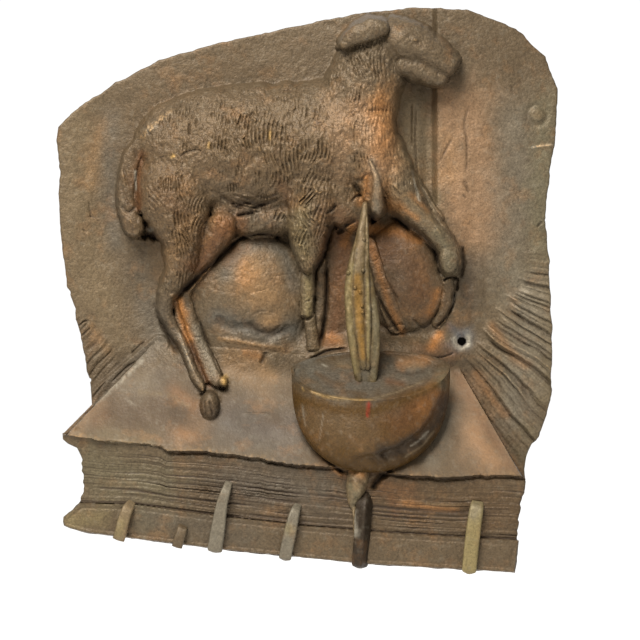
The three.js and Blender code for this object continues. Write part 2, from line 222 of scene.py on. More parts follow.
lamb = {
    "torso": [[-116, 90, 26, 20, 14], [-98, 97, 39, 38, 25], [-62, 103, 45, 46, 31],
              [-20, 105, 47, 47, 33], [18, 109, 48, 46, 34], [42, 114, 46, 41, 32], [60, 118, 36, 30, 22]],
    "neck": [[34, 108, 42, 24, 20], [36, 138, 46, 27, 22], [46, 168, 45, 24, 20], [60, 185, 41, 17, 17]],
    "breast": [[38, 132, 50, 21, 18], [43, 108, 52, 19, 18], [45, 88, 50, 13, 14], [46, 71, 46, 7, 9],
               [46, 58, 41, 4, 6]],
    "chestWall": [[12, 82, 40, 12, 8], [24, 68, 41, 13, 8], [33, 58, 38, 12, 8], [38, 51, 31, 8, 6]],
    "shoulder": [[67, 98, 20, 2.2, 2], [74, 85, 23, 3, 3], [84, 69, 25, 3, 3], [94, 55, 25, 2.6, 3]],
    "belly": [[-68, 62, 32, 8, 9], [-46, 58, 33, 13, 12], [-24, 57, 33, 13, 12], [-6, 60, 36, 9, 10]],
    "legWeb": [[-91, 6, 20, 4.5, 2], [-89, -12, 20, 4.5, 2], [-84, -28, 22, 4.5, 2],
               [-77, -44, 26, 4.5, 2], [-70, -58, 33, 3.5, 2]],
    "farHindLeg": [
        [-53, 60, 38, 9, 8], [-62, 49, 38, 11, 9], [-71, 34, 33, 9, 7], [-81, 17, 27, 6, 5],
        [-87, 4, 23, 4.6, 4], [-85.5, -5, 23, 4.8, 4], [-80.3, -20, 24, 5.4, 4], [-74.4, -35, 26, 5.6, 4],
        [-67.4, -50, 32, 5.4, 4], [-61.6, -60.5, 38, 4.6, 4],
    ],
    "nearHindLeg": [
        [-94, 110, 38, 27, 20], [-93, 76, 46, 27.5, 20], [-90, 56, 45, 21.5, 16],
        [-87.5, 40, 42, 13.5, 12], [-89.6, 22, 36, 10.4, 8], [-94.5, 10.5, 32, 8.6, 7],
        [-99, 2.5, 29, 6.4, 6], [-99.8, -5, 27, 5.8, 5], [-98.6, -11, 26, 4.9, 5],
        [-94.0, -20, 26, 3.9, 4.5], [-88, -30, 28, 3.4, 4], [-83.8, -41, 31, 3.2, 4],
        [-79.1, -52.5, 36, 3.2, 4], [-73, -64, 43, 3.8, 4],
    ],
    "nearPastern": [[1, -9, 24, 4, 3], [4.6, -36, 25, 4.6, 3]],
    "cannonSide": [[10, 30, 24, 3.2, 2], [9, 10, 20.5, 3.6, 2], [8, -10, 20, 3.6, 2],
                   [6, -26, 21.5, 3.0, 2]],
    "nearCannon": [[0, 22, 28, 4.4, 4], [-0.3, 4, 27, 4.9, 4], [-0.6, -13, 26, 4.4, 4]],
    "nearForeleg": [[8, 86, 46, 20, 15], [3, 66, 47, 18, 15], [0.8, 48, 45, 14.6, 13],
                    [1.2, 35, 41, 11, 9], [0.8, 26, 38, 7.2, 7], [-0.4, 18, 35, 3.2, 4]],
    "raisedCannon": [[97.5, 18, 23, 4.4, 3], [98, 4, 20, 4.0, 2], [95, -9, 18.5, 3.8, 2],
                     [88, -19, 15.5, 3.4, 1.5]],
    "raisedLeg": [
        [46, 122, 38, 12, 12], [52, 102, 44, 16, 16], [61, 82, 44, 14.5, 15], [73, 64, 40, 11, 12],
        [86, 50, 37, 8.6, 10], [97, 38, 34, 8.2, 8], [99.5, 27, 32, 7.8, 7], [98.5, 16, 29, 6.4, 6],
    ],
    "flapRight": [[43.0, 98, 53, 1.2, 1.5], [47, 88, 54, 2.2, 2], [48.4, 76, 54, 3.2, 2.5],
                  [48.2, 66, 52, 4.0, 3], [47.5, 58, 49, 2.4, 2]],
    "skull": [[52, 184, 44, 14, 15], [67, 182, 46, 15.5, 16], [82, 175, 45, 13, 14],
              [95, 167, 43, 10, 12], [104, 161, 40, 7.5, 9]],
    "jaw": [[62, 168, 40, 9, 10], [80, 161, 40, 8.5, 9], [98, 154, 37, 6, 7]],
    "ear": [[57, 190, 50, 4, 4], [45, 190, 52, 7, 4], [32, 184, 50, 6, 4], [22, 177, 47, 2.5, 3]],
    "tailRoot": [[-110, 108, 24.5, 5, 1.5], [-117, 96, 25.4, 5.5, 1.5], [-119, 80, 26.4, 5.5, 1.5],
                 [-116, 60, 27.4, 5, 1.5]],
    "tail": [
        [-110, 117, 27, 4, 3], [-118, 107, 27, 5.4, 3], [-124.6, 96, 27, 5.8, 3],
        [-127.0, 82, 28, 5.9, 3.5], [-126.8, 68, 29, 6.0, 4], [-125.2, 59, 30, 6.4, 5],
        [-121.5, 51, 31, 6.8, 6], [-119.5, 43.5, 31, 4.6, 5],
    ],
    "sideStrand": [[43, 44, 22, 2.6, 1], [48.6, 22, 24.6, 4.2, 1], [55, 0, 25, 5.6, 1],
                   [64, -23, 20, 6.4, 1]],
}
bars = {
    "wall": 11.0,            # fall of a side wall for each millimetre outwards
    "ends": 0.16,            # share of a bar that is rounded off at each end
    "roundness": 0.55,       # power of the section: lower is flatter on top with steeper sides
    "fillet": 1.6,
    "ragged": [(1.1, 8.0, 55), (0.6, 3.0, 56)],
}

# Fillets where a bar meets what lies under it, and the power of the section of flatter bars
fillets = {
    "torso": 4.0, "neck": 8.0, "breast": 7.0, "nearHindLeg": 5.0, "nearForeleg": 5.0, "raisedLeg": 8.0,
    "shoulder": 4.0, "tail": 2.0, "belly": 7.0, "chestWall": 7.0, "sideStrand": 6.0, "flapRight": 0.7,
    "nearCannon": 3.0, "raisedCannon": 3.0, "nearPastern": 3.0, "cannonSide": 3.0, "farHindLeg": 5.0,
}
flatBars = {
    "tail": 0.3, "tailRoot": 0.3, "legWeb": 0.3, "chestWall": 0.3, "flapRight": 0.35, "sideStrand": 0.3,
    "raisedCannon": 0.4, "nearCannon": 0.4, "nearPastern": 0.4, "shoulder": 0.4, "farHindLeg": 0.45,
    "cannonSide": 0.4,
}

# Domes: u, w, half width, half height, crown, bulge and the power of the section
domes = [
    (-68.8, -74.7, 6.8, 10.4, 49, 7, 0.5), (-59.6, -57.5, 3.4, 3.4, 39, 4, 0.5),
    (75, 182, 3.0, 2.4, 47, 4, 0.5), (-29.5, -15.5, 13.5, 9.0, 26.0, 3, 1.0),
    (98.5, 28, 6.6, 9.5, 34, 3, 0.5),
]

# Fleece: how far along each bar it reaches, the bars that lie under it, and the strokes that show: u, w,
# angle, length, width, pitch, cut and bow
combedBars = {"torso": 1.0, "neck": 1.0, "breast": 0.66, "nearHindLeg": 0.46, "nearForeleg": 0.93,
              "raisedLeg": 0.36, "belly": 1.0}
barsUnderFleece = ("sideStrand", "nearPastern", "farHindLeg", "shoulder", "chestWall", "legWeb")
comb = {
    "from": (-132, 12), "to": (112, 204), "spacing": 9.5, "stray": 3.5, "seed": 5,
    "length": 25.0, "width": 22.0, "pitch": 2.4, "cut": 0.85, "turn": 26.0, "strengths": [0.1, 0.4, 0.7, 1.0],
    "waver": [(0.45, 4.5, 52), (1.3, 13.0, 59)],
    "loose": [(0.16, 3.2, 57), (0.2, 9.0, 58)],
    "lumps": [(1.0, 14.0, 71), (0.5, 6.0, 72), (0.3, 2.4, 77)],
}
combStrokesSeen = [
    (-46, 125, 66, 11, 8, 2.5, 1.0, 0.0), (-21, 118, 88, 12, 12, 2.6, 0.9, 0.0),
    (-7, 132, 80, 14, 14, 2.7, 0.8, 0.0), (10, 131, 84, 14, 14, 2.7, 0.7, 0.0),
    (-63, 110, 86, 16, 12, 2.4, 0.9, 0.0), (-33, 118, 84, 26, 27, 2.8, 1.25, 0.014),
    (-20, 86, 92, 11, 13, 2.7, 1.0, 0.0), (-13, 98, 95, 25, 20, 2.9, 1.15, 0.012),
    (-1, 109, 88, 16, 10, 2.7, 0.6, 0.0), (4.6, 83, 62, 17, 18, 2.9, 0.95, 0.0),
    (13, 108, 76, 29, 13, 2.8, 1.4, 0.004), (-1, 57, 112, 18, 17, 2.6, 1.0, 0.03),
    (8.5, 60, 60, 13, 12, 2.6, 1.0, 0.0), (0.5, 71, 50, 22, 9, 2.8, 1.4, 0.0),
    (-5.4, 44.5, 70, 14, 12, 2.5, 1.1, 0.0), (7.5, 48.5, 82, 13, 9, 2.4, 0.9, 0.0),
    (-1.8, 33, 98, 12, 10, 2.4, 1.0, 0.0), (-44, 69, 172, 22, 12, 2.6, 1.1, 0.0),
    (-20.5, 58, 60, 10, 7, 2.6, 1.2, 0.0), (51, 118, 100, 22, 12, 2.3, 0.5, 0.02),
    (44, 128, 85, 19, 14, 2.4, 0.5, 0.0), (35, 129, 78, 10, 8, 2.4, 0.7, 0.0),
    (56, 105, 102, 18, 10, 2.2, 0.5, -0.03), (46, 112, 92, 24, 22, 2.2, 0.35, 0.0),
    (-53, 79, 96, 9, 14, 1.8, 0.9, 0.0), (-97, 80, 92, 15, 22, 2.0, 0.7, 0.0),
    (-104, 116, 88, 11, 14, 2.0, 0.5, 0.0), (-75, 52, 66, 17, 14, 2.3, 1.0, 0.04),
    (-88, 58, 102, 15, 13, 2.3, 1.0, 0.0), (-96, 36, 97, 13, 11, 2.2, 0.9, 0.0),
    (-80, 66, 80, 14, 12, 2.3, 0.9, 0.02), (-92, 45, 84, 12, 12, 2.3, 0.9, 0.0),
]

# Patches without fleece: u, w and half sizes
smoothClay = [(18, 122, 9, 18), (25, 98, 6, 26), (-101, 104, 11, 10), (-17, 76, 7, 5), (20, 70, 6, 8)]

# Touch of the hand on the clay: noises, and the centre and half sizes of the ground between the legs
touch = {"grain": [(0.55, 6.0, 73), (0.5, 2.6, 74), (0.4, 1.5, 79)], "ground": (5.0, -10.0, 95.0, 42.0)}

# Ground: u, w, half width, half height, crown, bulge, and the power of the section: 0.5 has a steep rim
swells = [(-41, 3, 44, 44, 27, 14, 0.5), (67, 16, 29, 39, 26, 12, 0.5), (22, 10, 20, 62, 19, 8, 0.5),
          (-36, -34, 60, 22, 22, 11, 1.0), (44, -40, 62, 18, 32, 18, 1.0)]
groundWall = 1.2

# Book
book = {
    "coverBack": [(-108, -30, 13), (105, -46, 13)],
    "coverFront": [
        (-172, -94), (-148.5, -98), (-127, -100.3), (-104, -101.8), (-98.5, -105.2), (-65, -107),
        (-22, -113), (2, -116), (60, -122), (93, -123.9), (121.8, -122.2), (152, -123.4),
    ],
    "coverLine": [(-172, -94.5), (-22, -112.5), (60, -120.5), (152, -124)],
    "frontDepth": 59.0,
    "coverUneven": [(0.7, 26.0, 31), (0.2, 9.0, 32)],
    "frontRagged": [(0.7, 9.0, 33), (0.35, 3.1, 34)],
    "undercut": (-112.0, -84.0),     # u where the cut under the lip begins and where it is full
    "lip": 1.3,
    "under": 5.0,
    "corner": [(-172, -93), (-171.6, -97.5), (-168, -100.5), (-163, -103), (-157, -106), (-140, -108),
               (-140, -97)],
    "pageDepth": 56.0,
    "pageLines": [(20.0, 0.4, 42), (32.0, 0.7, 43), (48.0, 1.0, 44)],     # lines down the pages, cut and seed
    "pageOutline": [
        (-163, -99), (-160, -106.8), (-158.5, -112), (-158, -120), (-157, -128), (-156.8, -134),
        (-160, -142), (-158, -152), (146, -178), (146.8, -162.5), (148.9, -142), (151.8, -132),
        (152, -122),
    ],
    "boardTop": [(-172, -151), (-160, -142), (-120, -143.0), (-68, -150.3), (0, -158), (60, -163),
                 (148, -168)],
    "board": [
        (-160, -142), (-165, -146.8), (-171.4, -151.7), (-171.8, -155.3), (-171, -158.2),
        (-166.4, -160.3), (-156, -163), (-60, -175), (40, -185), (145, -191), (148, -168), (60, -163),
        (0, -158), (-68, -150.3), (-120, -143.0),
    ],
    "boardDepth": 58.0,
    "boardWidth": 3.5,
}

# Lines drawn into the soft model: half width, height (a cut is negative), darkness, path
# Darkness is patina crust with painted shade in the cut; where it is negative it is a rub or a painted
# highlight
marks = [
    # tail; the cut under its tip carries painted shadow
    (0.7, -1.0, 0.1, [(-114, 105), (-118.2, 95), (-120.4, 82), (-119.8, 70), (-116, 57)]),
    (0.9, -0.8, 0.2, [(-130, 95), (-127, 86), (-124, 79)]),
    (0.8, -0.8, 0.25, [(-131, 80), (-127.5, 71), (-124, 66)]),
    (1.2, -1.5, 0.4, [(-131, 66), (-126, 61.5), (-120, 65)]), (1.3, 0.9, -0.05, [(-130, 89), (-128, 79)]),
    (1.0, -1.0, 0.3, [(-122, 106), (-119, 98)]), (1.4, 0.8, -0.05, [(-125, 57), (-121, 50)]),
    (2.2, -6.0, 0.9, [(-116, 43), (-112, 46), (-106, 42)]),
    (1.0, -2.0, 0.7, [(-112, 52), (-108, 46), (-104, 41)]),
    # haunch, belly and flank; the cuts under the belly carry painted shadow, the ridge along the haunch a
    # painted highlight
    (2.2, 1.2, -0.35, [(-118, 112), (-108, 123), (-94, 134)]),
    (0.7, -1.2, 0.6, [(-90, 100), (-85, 103.5), (-78, 105), (-74, 104)]),
    (0.8, -1.2, 0.6, [(-83.5, 124), (-83, 115)]),
    (1.5, -6.0, 1.0, [(-49, 42), (-59, 33), (-70, 23), (-80, 13.5), (-91, 4)]),
    (1.1, -5.0, 1.0, [(-54, 38), (-46, 43.5), (-36, 46), (-27, 46), (-19, 43.5)]),
    (1.3, -3.5, 0.8, [(-50, 59), (-44, 60), (-37, 61.5)]),
    (1.2, -2.5, 0.7, [(-40, 64), (-30, 67.5), (-20, 71)]),
    (1.6, -2.2, 0.7, [(-50, 66), (-40, 68.5), (-30, 66)]),
    (1.2, -1.8, 0.6, [(-62, 73), (-55, 69), (-48, 65)]), (1.0, -1.6, 0.5, [(-36, 73), (-28, 72), (-20, 75)]),
    # near foreleg
    (1.3, -4.0, 0.9, [(16.5, 51), (15, 46), (12.5, 36), (9, 27), (3, 19.5)]),
    (1.0, -2.5, 0.8, [(12, 60), (16, 62.5), (20, 67)]),
    (1.2, -3.0, 0.9, [(20, 46.5), (27.5, 52.5), (34, 56)]),
    (1.3, -3.5, 0.8, [(12.8, 26), (13.2, 8), (12.8, -8), (11, -18), (8.3, -34)]),
    (0.7, -1.4, 0.6, [(-4, 19.5), (0, 18.0), (3.5, 20)]),
    (0.9, -2.0, 0.7, [(-4, -11), (-0.5, -13.5), (3.5, -11)]),
    (0.5, -0.7, 0.6, [(-2.2, -1.2), (1.8, -0.4)]),
    # ground between the legs
    (3.5, -2.5, 0.3, [(-68, -13), (-52, -19), (-40, -19), (-30, -23.5), (-10, -21)]),
    (1.4, 1.1, -0.05, [(-63, -27), (-52, -28.5), (-42, -30.5), (-30, -32.5), (-17, -33.5)]),
    (1.4, -2.0, 0.5, [(-29, -36), (-31, -41), (-33, -45)]),
    # hind legs
    (0.7, -1.0, 0.35, [(-92.5, 0), (-88, -14), (-82.5, -29), (-75, -48), (-71, -60)]),
    (1.2, -2.0, 0.5, [(-107.5, -2), (-103, -15), (-96, -28), (-91, -37)]),
    (0.8, 0.7, -0.05, [(-95.5, -8), (-90, -22), (-85, -37), (-80, -50)]),
    (0.7, -1.5, 0.5, [(-77, -11), (-71, -28), (-63, -48), (-59, -54)]),
    (0.7, -2.0, 0.9, [(-76, -66), (-72, -66.3), (-69.5, -64), (-65, -65.5)]),
    (1.6, -3.0, 1.0, [(-62, -61.5), (-58, -62.5)]),
    (0.5, -1.0, 0.6, [(-73, -70), (-71.5, -82)]),
    (0.7, -1.2, 0.8, [(-69, -70), (-66.5, -81)]),
    # breast and raised leg
    (2.6, -9.0, 1.0, [(43.5, 60.5), (47.5, 54.5)]), (0.9, -2.0, 0.8, [(12, 52), (20, 51), (29, 53)]),
    (0.7, -1.6, 0.7, [(30.5, 68.5), (33, 72), (37, 73.5)]),
    (0.8, 1.2, -0.1, [(34.5, 80), (38, 86), (42.5, 91)]),
    (1.4, 1.4, 0.0, [(58, 82), (72, 70), (86, 56), (96, 42)]),
    (2.6, -2.5, 0.2, [(43, 90), (42.5, 78), (41, 70)]),
    (1.6, -1.6, 0.35, [(33, 78), (35.5, 83), (38, 86)]),
    (0.7, -1.2, 0.6, [(36.5, 82.5), (39.5, 87), (42, 92)]),
    (1.6, -4.5, 0.95, [(57, 60), (69, 52.5), (80, 45), (87.5, 36.5), (91, 27), (93, 15)]),
    (0.9, -2.0, 0.6, [(78, 75), (91, 54.5), (103, 43)]),
    (0.7, -1.0, 0.5, [(75.5, 140), (75, 112), (76, 92), (80, 79), (90, 62), (95, 54)]),
    (0.6, -0.8, 0.5, [(72.5, 138), (72.5, 106)]),
    (1.2, -3.0, 0.7, [(108, 38), (108.8, 27), (107, 15)]),
    (1.0, -3.5, 0.95, [(94.5, 13), (99, 16), (104.8, 15)]),
    (0.8, -3.0, 0.9, [(105, 16), (104.2, 6)]),
    (1.0, -3.0, 0.7, [(102, 8), (101.5, -3), (96, -13), (89, -20)]),
    (0.9, -1.5, 0.5, [(73, -13), (80, -19), (87, -15), (92, -6)]),
    (0.9, -3.0, 0.9, [(46.5, 8), (53, -5), (58, -14), (64.5, -24)]),
    (0.5, -0.4, 0.35, [(54, 17), (62, 2), (70, -11)]),
    # foot of the ground, and the cover around the cup, with painted shadow under the cup's foot
    (1.2, -3.0, 0.9, [(0, -42.5), (10, -37.5), (18, -35), (28, -34)]),
    (0.8, -1.5, 0.7, [(76, -40), (85, -41), (94, -40), (103, -37)]),
    (0.5, 0.4, -0.2, [(-46, -79.6), (-28, -79.3)]),
    (2.4, -6.0, 1.0, [(60, -118), (54, -121), (48, -127), (45, -133)]),
    (1.3, -3.0, 0.9, [(9, -107), (16, -114), (25, -121)]),
    (1.6, 2.0, -0.1, [(40, -120), (48, -118.5)]), (1.4, 1.6, -0.1, [(18, -118), (24, -123)]),
    # beside the hock, and around the small mound
    (2.0, -3.0, 0.8, [(-94, 1), (-86, 8), (-77, 17)]),
    (0.8, -0.8, 0.3, [(-41, -16), (-35, -21.5), (-26, -22.5), (-18.5, -17)]),
    (0.7, -0.5, 0.2, [(-41, -12), (-35, -8.5), (-27, -8), (-20, -11)]),
    # right of the plate
    (0.7, -0.8, 0.5, [(113, 138), (110, 127), (109.2, 121), (111, 112), (111, 98), (111, 87)]),
    (0.9, -0.9, 0.5, [(92, 96), (97, 106), (101, 113)]),
    (0.9, -1.0, 0.5, [(109, 84), (111, 79), (113, 75)]), (0.7, -0.8, 0.4, [(108, 74), (111, 71)]),
    (0.6, -0.5, 0.3, [(126, 83), (133, 74)]), (0.5, -0.4, 0.3, [(124, 84), (131, 75)]),
    (0.9, -1.2, 0.6, [(160.5, 51), (164, 55)]), (0.6, 0.3, -0.9, [(157, 107), (171, 109)]),
    # left of the plate
    (0.6, -0.6, 0.4, [(-153.5, 70), (-152.5, 63), (-152, 57)]),
    (0.5, -0.5, 0.4, [(-154, 58.5), (-145.5, 57.5)]),
    (0.8, -0.6, 0.3, [(-158, 50), (-155, 47)]), (0.8, -0.6, 0.3, [(-158, 42), (-157, 38)]),
    (0.6, -1.4, 0.8, [(-161, -18.5), (-157, -15), (-154, -14.6)]),
    (0.6, -1.2, 0.7, [(-159, -26), (-152, -19)]),
    (0.6, -0.9, 0.4, [(-124, -38), (-119, -33), (-114, -29)]),
    (0.6, -0.9, 0.4, [(-138, -58), (-128, -48), (-120, -43)]),
]


# A bar's depth: crown minus bulge times (1 - its rounded height), and beyond its side a straight fall of
# the wall. Half width and height shrink to nothing over the rounded ends.
def barDepth(u, w, stations, power):
    path = smoothThrough(stations, 12 * len(stations))
    gap, share = nearestOnPath(u, w, path)
    along = np.linspace(0.0, 1.0, len(path))
    crown, half, bulge = (np.interp(share, along, path[:, k]) for k in (2, 3, 4))
    toEnd = np.maximum(0.0, (np.abs(2.0 * share - 1.0) - 1.0 + bars["ends"]) / bars["ends"])
    cap = np.sqrt(np.maximum(0.0, 1.0 - toEnd ** 2))
    half = np.maximum(half * cap, 0.05)
    ragged = layered(u, w, *bars["ragged"]) * np.minimum(1.0, 0.1 * half + 0.2)
    across = (gap + ragged) / half
    rise = cap * np.maximum(0.0, 1.0 - across ** 2) ** power
    depth = crown - bulge * (1.0 - rise) - bars["wall"] * np.maximum(0.0, across * half - half)
    return depth, across, share


# Half an ellipsoid: crown minus bulge times (1 - its height), with walls of the given fall.
def domeDepth(u, w, place, wall):
    u0, w0, halfU, halfW, crown, bulge, power = place
    across = np.hypot((u - u0) / halfU, (w - w0) / halfW)
    rise = np.maximum(0.0, 1.0 - across ** 2) ** power
    return crown - bulge * (1.0 - rise) - wall * np.maximum(0.0, across - 1.0) * min(halfU, halfW)


# Rounded ridges: the fall from each crest is a power of the place between two crests.
def ridges(phase, seed):
    cell = np.floor(phase)
    inside = 2.0 * (phase - cell) - 1.0
    strength = 0.6 + 0.4 * softNoise(cell * 7.3, cell * 0.0, 1.0, seed)
    return (1.0 - np.abs(inside) ** 2.4) * strength


# Pleats: ridges of several spacings over one place, each swayed by its own share.
def pleatsOf(place, sway, pleats):
    return sum(share * ridges(place / spacing + part * sway, seed) for share, spacing, part, seed in pleats)


# Right fan: pleats by the turn about a far centre, from a ragged inner edge outwards, calmer at its two ends.
def rightFan(u, w):
    turn = np.degrees(np.arctan2(rightRays["w"] - w, u - rightRays["u"]))
    reach = np.hypot(u - rightRays["u"], w - rightRays["w"])
    edge = np.asarray(rightRays["inner"], float)
    edgeTurn = np.degrees(np.arctan2(rightRays["w"] - edge[:, 1], edge[:, 0] - rightRays["u"]))
    edgeReach = np.hypot(edge[:, 0] - rightRays["u"], edge[:, 1] - rightRays["w"])
    inner = np.interp(turn, edgeTurn, edgeReach) + 4.0 * softNoise(turn, turn * 0.0, 2.2, 21)
    fan = softStep(inner - 2.0, inner + 10.0, reach)
    fan = fan * softStep(rightRays["first"] - 2.0, rightRays["first"] + 5.0, turn)
    fan = fan * softStep(rightRays["last"] + 6.0, rightRays["last"], turn)
    for calmTurn, fullTurn, least in rightRays["calm"]:
        fan = fan * (least + (1.0 - least) * softStep(calmTurn, fullTurn, turn))
    sway = layered(u, w, *rightRays["sway"])
    pleat = pleatsOf(turn, sway, rightRays["pleats"]) + 0.25 * softNoise(turn, reach * 0.05, 5.0, 29)
    spacing, part, seed = rightRays["scratch"]
    scratch = softStep(0.3, 0.0, ridges(turn / spacing + part * sway, seed))
    dark = fan * (0.4 * softStep(0.45, 0.15, pleat) + 0.15 * scratch)
    return fan * (rightRays["rise"] * pleat - rightRays["sink"]), dark


# Left fan: straight pleats across a leaning line, inside the outline of their area.
def leftFan(u, w):
    lean = math.radians(leftRays["lean"])
    across = -u * math.sin(lean) + w * math.cos(lean)
    fan = softStep(2.0, -3.0, outlineDistance(u, w, leftRays["area"]))
    pleat = pleatsOf(across, layered(u, w, *leftRays["sway"]), leftRays["pleats"])
    return fan * (leftRays["rise"] * pleat - leftRays["sink"]), fan * 0.2 * softStep(0.4, 0.1, pleat)


# The plate: flat, with a swelling right field, soft hollows, a boss, two fans of rays and a ledge.
def plateDepthAt(u, w):
    depth = eye["plateDepth"] + layered(u, w, *plate["uneven"])
    panel = plate["panel"]
    field = softStep(*panel["edge"], u) * (1.0 - 0.9 * softStep(*panel["fall"], u))
    depth = depth + panel["rise"] * field * softStep(*panel["foot"], w)
    for u0, w0, halfU, halfW, sink in plate["hollows"]:
        depth = depth - sink * np.exp(-((u - u0) / halfU) ** 2 - ((w - w0) / halfW) ** 2)
    boss = plate["boss"]
    out = np.hypot(u - boss["u"], w - boss["w"]) - boss["radius"]
    depth = depth + boss["rise"] * softStep(1.5, -1.5, out) - 0.8 * np.exp(-((out - 2.5) / 1.6) ** 2)
    rightRise, rightDark = rightFan(u, w)
    leftRise, leftDark = leftFan(u, w)
    ledge = plate["ledge"]
    gap, _ = nearestOnPath(u, w, np.array([ledge["from"], ledge["to"]], float))
    ledgeRise = ledge["rise"] * softStep(ledge["width"] + 1.0, ledge["width"] - 1.5, gap)
    return depth + rightRise + leftRise + ledgeRise, rightDark + leftDark


# The sloping cover: depth grows from the back line to the front line in even proportion. Its front edge is
# read off the outline and made ragged.
def coverDepthAt(u, w):
    (u0, w0, d0), (u1, w1, _) = book["coverBack"]
    back = w0 + (u - u0) * (w1 - w0) / (u1 - u0)
    line = np.asarray(book["coverLine"], float)
    share = np.clip((back - w) / (back - np.interp(u, line[:, 0], line[:, 1])), -0.2, 1.03)
    depth = d0 + (book["frontDepth"] - d0) * share + layered(u, w, *book["coverUneven"])
    edge = np.asarray(book["coverFront"], float)
    front = np.interp(u, edge[:, 0], edge[:, 1]) + layered(u, u * 0.0, *book["frontRagged"])
    return depth, front


# Page edges: lines that keep the same share of the height between cover and board, cut by seeded notches
# whose strength changes along the book.
def pageDepthAt(u, w, front):
    edge = np.asarray(book["boardTop"], float)
    foot = np.interp(u, edge[:, 0], edge[:, 1])
    share = (front - w) / (front - foot)
    warp = 0.006 * softNoise(u, share * 40.0, 50.0, 41)
    lines = 0.0
    for count, cut, seed in book["pageLines"]:
        notch = softNoise(u / 75.0, (share + warp) * count, 1.0, seed)
        strength = 0.6 + 0.4 * softNoise(u, share * 30.0, 18.0, seed + 10)
        lines = lines - cut * softStep(0.05, 0.6, notch) * strength
    worn = softStep(-150.0, -120.0, u + 14.0 * softNoise(u, w, 12.0, 47))
    faint = 0.45 + 0.55 * softStep(0.2, 0.5, share + 0.15 * softNoise(u, w, 30.0, 40))
    lines = lines * faint * (0.3 + 0.7 * worn)
    depth = book["pageDepth"] + lines + 0.5 * softNoise(u, w, 20.0, 45)
    return depth, share, 0.65 * softStep(-0.35, -0.95, lines)


# One comb stroke: parallel cuts, each a raised cosine across, bowed by the square of the place along and
# fading at the stroke's rim. It wipes out what it crosses.
def combOnce(grid, u, w, mark, stroke):
    u0, w0, angle, length, width, pitch, cut, bow = stroke
    span = windowOf(grid, [(u0, w0)], length * 0.75)
    u, w = u[span], w[span]
    turn = math.radians(angle)
    along = (u - u0) * math.cos(turn) + (w - w0) * math.sin(turn)
    across = -(u - u0) * math.sin(turn) + (w - w0) * math.cos(turn) + bow * along ** 2
    across = across + layered(u, w, *comb["waver"])
    loose = layered(u, w, *comb["loose"])
    cover = softStep(1.0, 0.5, np.abs(along) / (length / 2) + loose)
    cover = cover * softStep(1.0, 0.7, np.abs(across) / (width / 2) + loose)
    cuts = -1.35 * cut * (0.5 + 0.5 * np.cos(2.0 * math.pi * across / pitch)) ** 1.6
    cuts = cuts * (0.85 + 0.35 * softNoise(u, w, 6.0, 53))
    tilted = cuts + 0.3 + 0.5 * along / length
    burr = 4.0 * cover * (1.0 - cover) * (0.5 + softNoise(u, w, 2.6, 54))
    mark[span] = mark[span] * (1.0 - cover) + tilted * cover + 0.8 * cut * burr


# Fleece: seeded strokes nearly upright wherever the mask is set, then the strokes that were seen, with
# smooth patches left out and lumps and scratches added.
def combedFleece(grid, u, w, mask):
    rng = np.random.default_rng(comb["seed"])
    mark = np.zeros(u.shape)
    (left, low), (right, high) = comb["from"], comb["to"]
    columns = np.arange(left, right, comb["spacing"])
    rows = np.arange(low, high, comb["spacing"])
    centres = [(a, b) for a in columns for b in rows]
    for k in rng.permutation(len(centres)):
        u0, w0 = np.asarray(centres[k]) + rng.uniform(-comb["stray"], comb["stray"], 2)
        lean = comb["turn"] * float(softNoise(np.array(u0), np.array(w0), 34.0, 51))
        size, strength = rng.uniform(0.7, 1.2), rng.choice(comb["strengths"])
        stroke = (u0, w0, 90.0 + lean + rng.normal(0.0, 9.0), comb["length"] * size, comb["width"] * size,
                  comb["pitch"] * rng.uniform(0.88, 1.12), comb["cut"] * strength, rng.uniform(-0.012, 0.012))
        combOnce(grid, u, w, mark, stroke)
    for stroke in combStrokesSeen:
        combOnce(grid, u, w, mark, stroke)
    smooth = np.zeros(u.shape)
    for u0, w0, halfU, halfW in smoothClay:
        smooth = np.maximum(smooth, np.exp(-(((u - u0) / halfU) ** 2 + ((w - w0) / halfW) ** 2) ** 2))
    scratches = 0.3 * softNoise(u, 0.35 * w, 1.25, 88) + 0.2 * softNoise(u + 0.5 * w, 0.4 * w, 1.1, 89)
    mark = mark * (1.0 - smooth) + scratches
    return mask * (mark + layered(u, w, *comb["lumps"])), mask * 0.22 * softStep(-0.35, -1.1, mark)


# The lamb laid over a depth by its bars and domes, and the share of fleece: combed bars set it, and bare ones
# clear it where they cross.
def withLamb(grid, u, w, depth):
    fleece = np.zeros(u.shape)
    for name, stations in lamb.items():
        span = windowOf(grid, [s[:2] for s in stations], 62.0 if name in fillets else 24.0)
        raised, across, share = barDepth(u[span], w[span], stations, flatBars.get(name, bars["roundness"]))
        depth[span] = softMax(depth[span], raised, fillets.get(name, bars["fillet"]))
        if name in combedBars:
            last = combedBars[name]
            combed = softStep(1.02, 0.9, across) * softStep(last + 0.04, last - 0.04, share)
            fleece[span] = np.maximum(fleece[span], combed)
        elif name not in barsUnderFleece:
            fleece[span] = fleece[span] * (1.0 - softStep(1.05, 0.95, across))
    for place in domes:
        depth = softMax(depth, domeDepth(u, w, place, bars["wall"]), 1.4)
    return depth, fleece


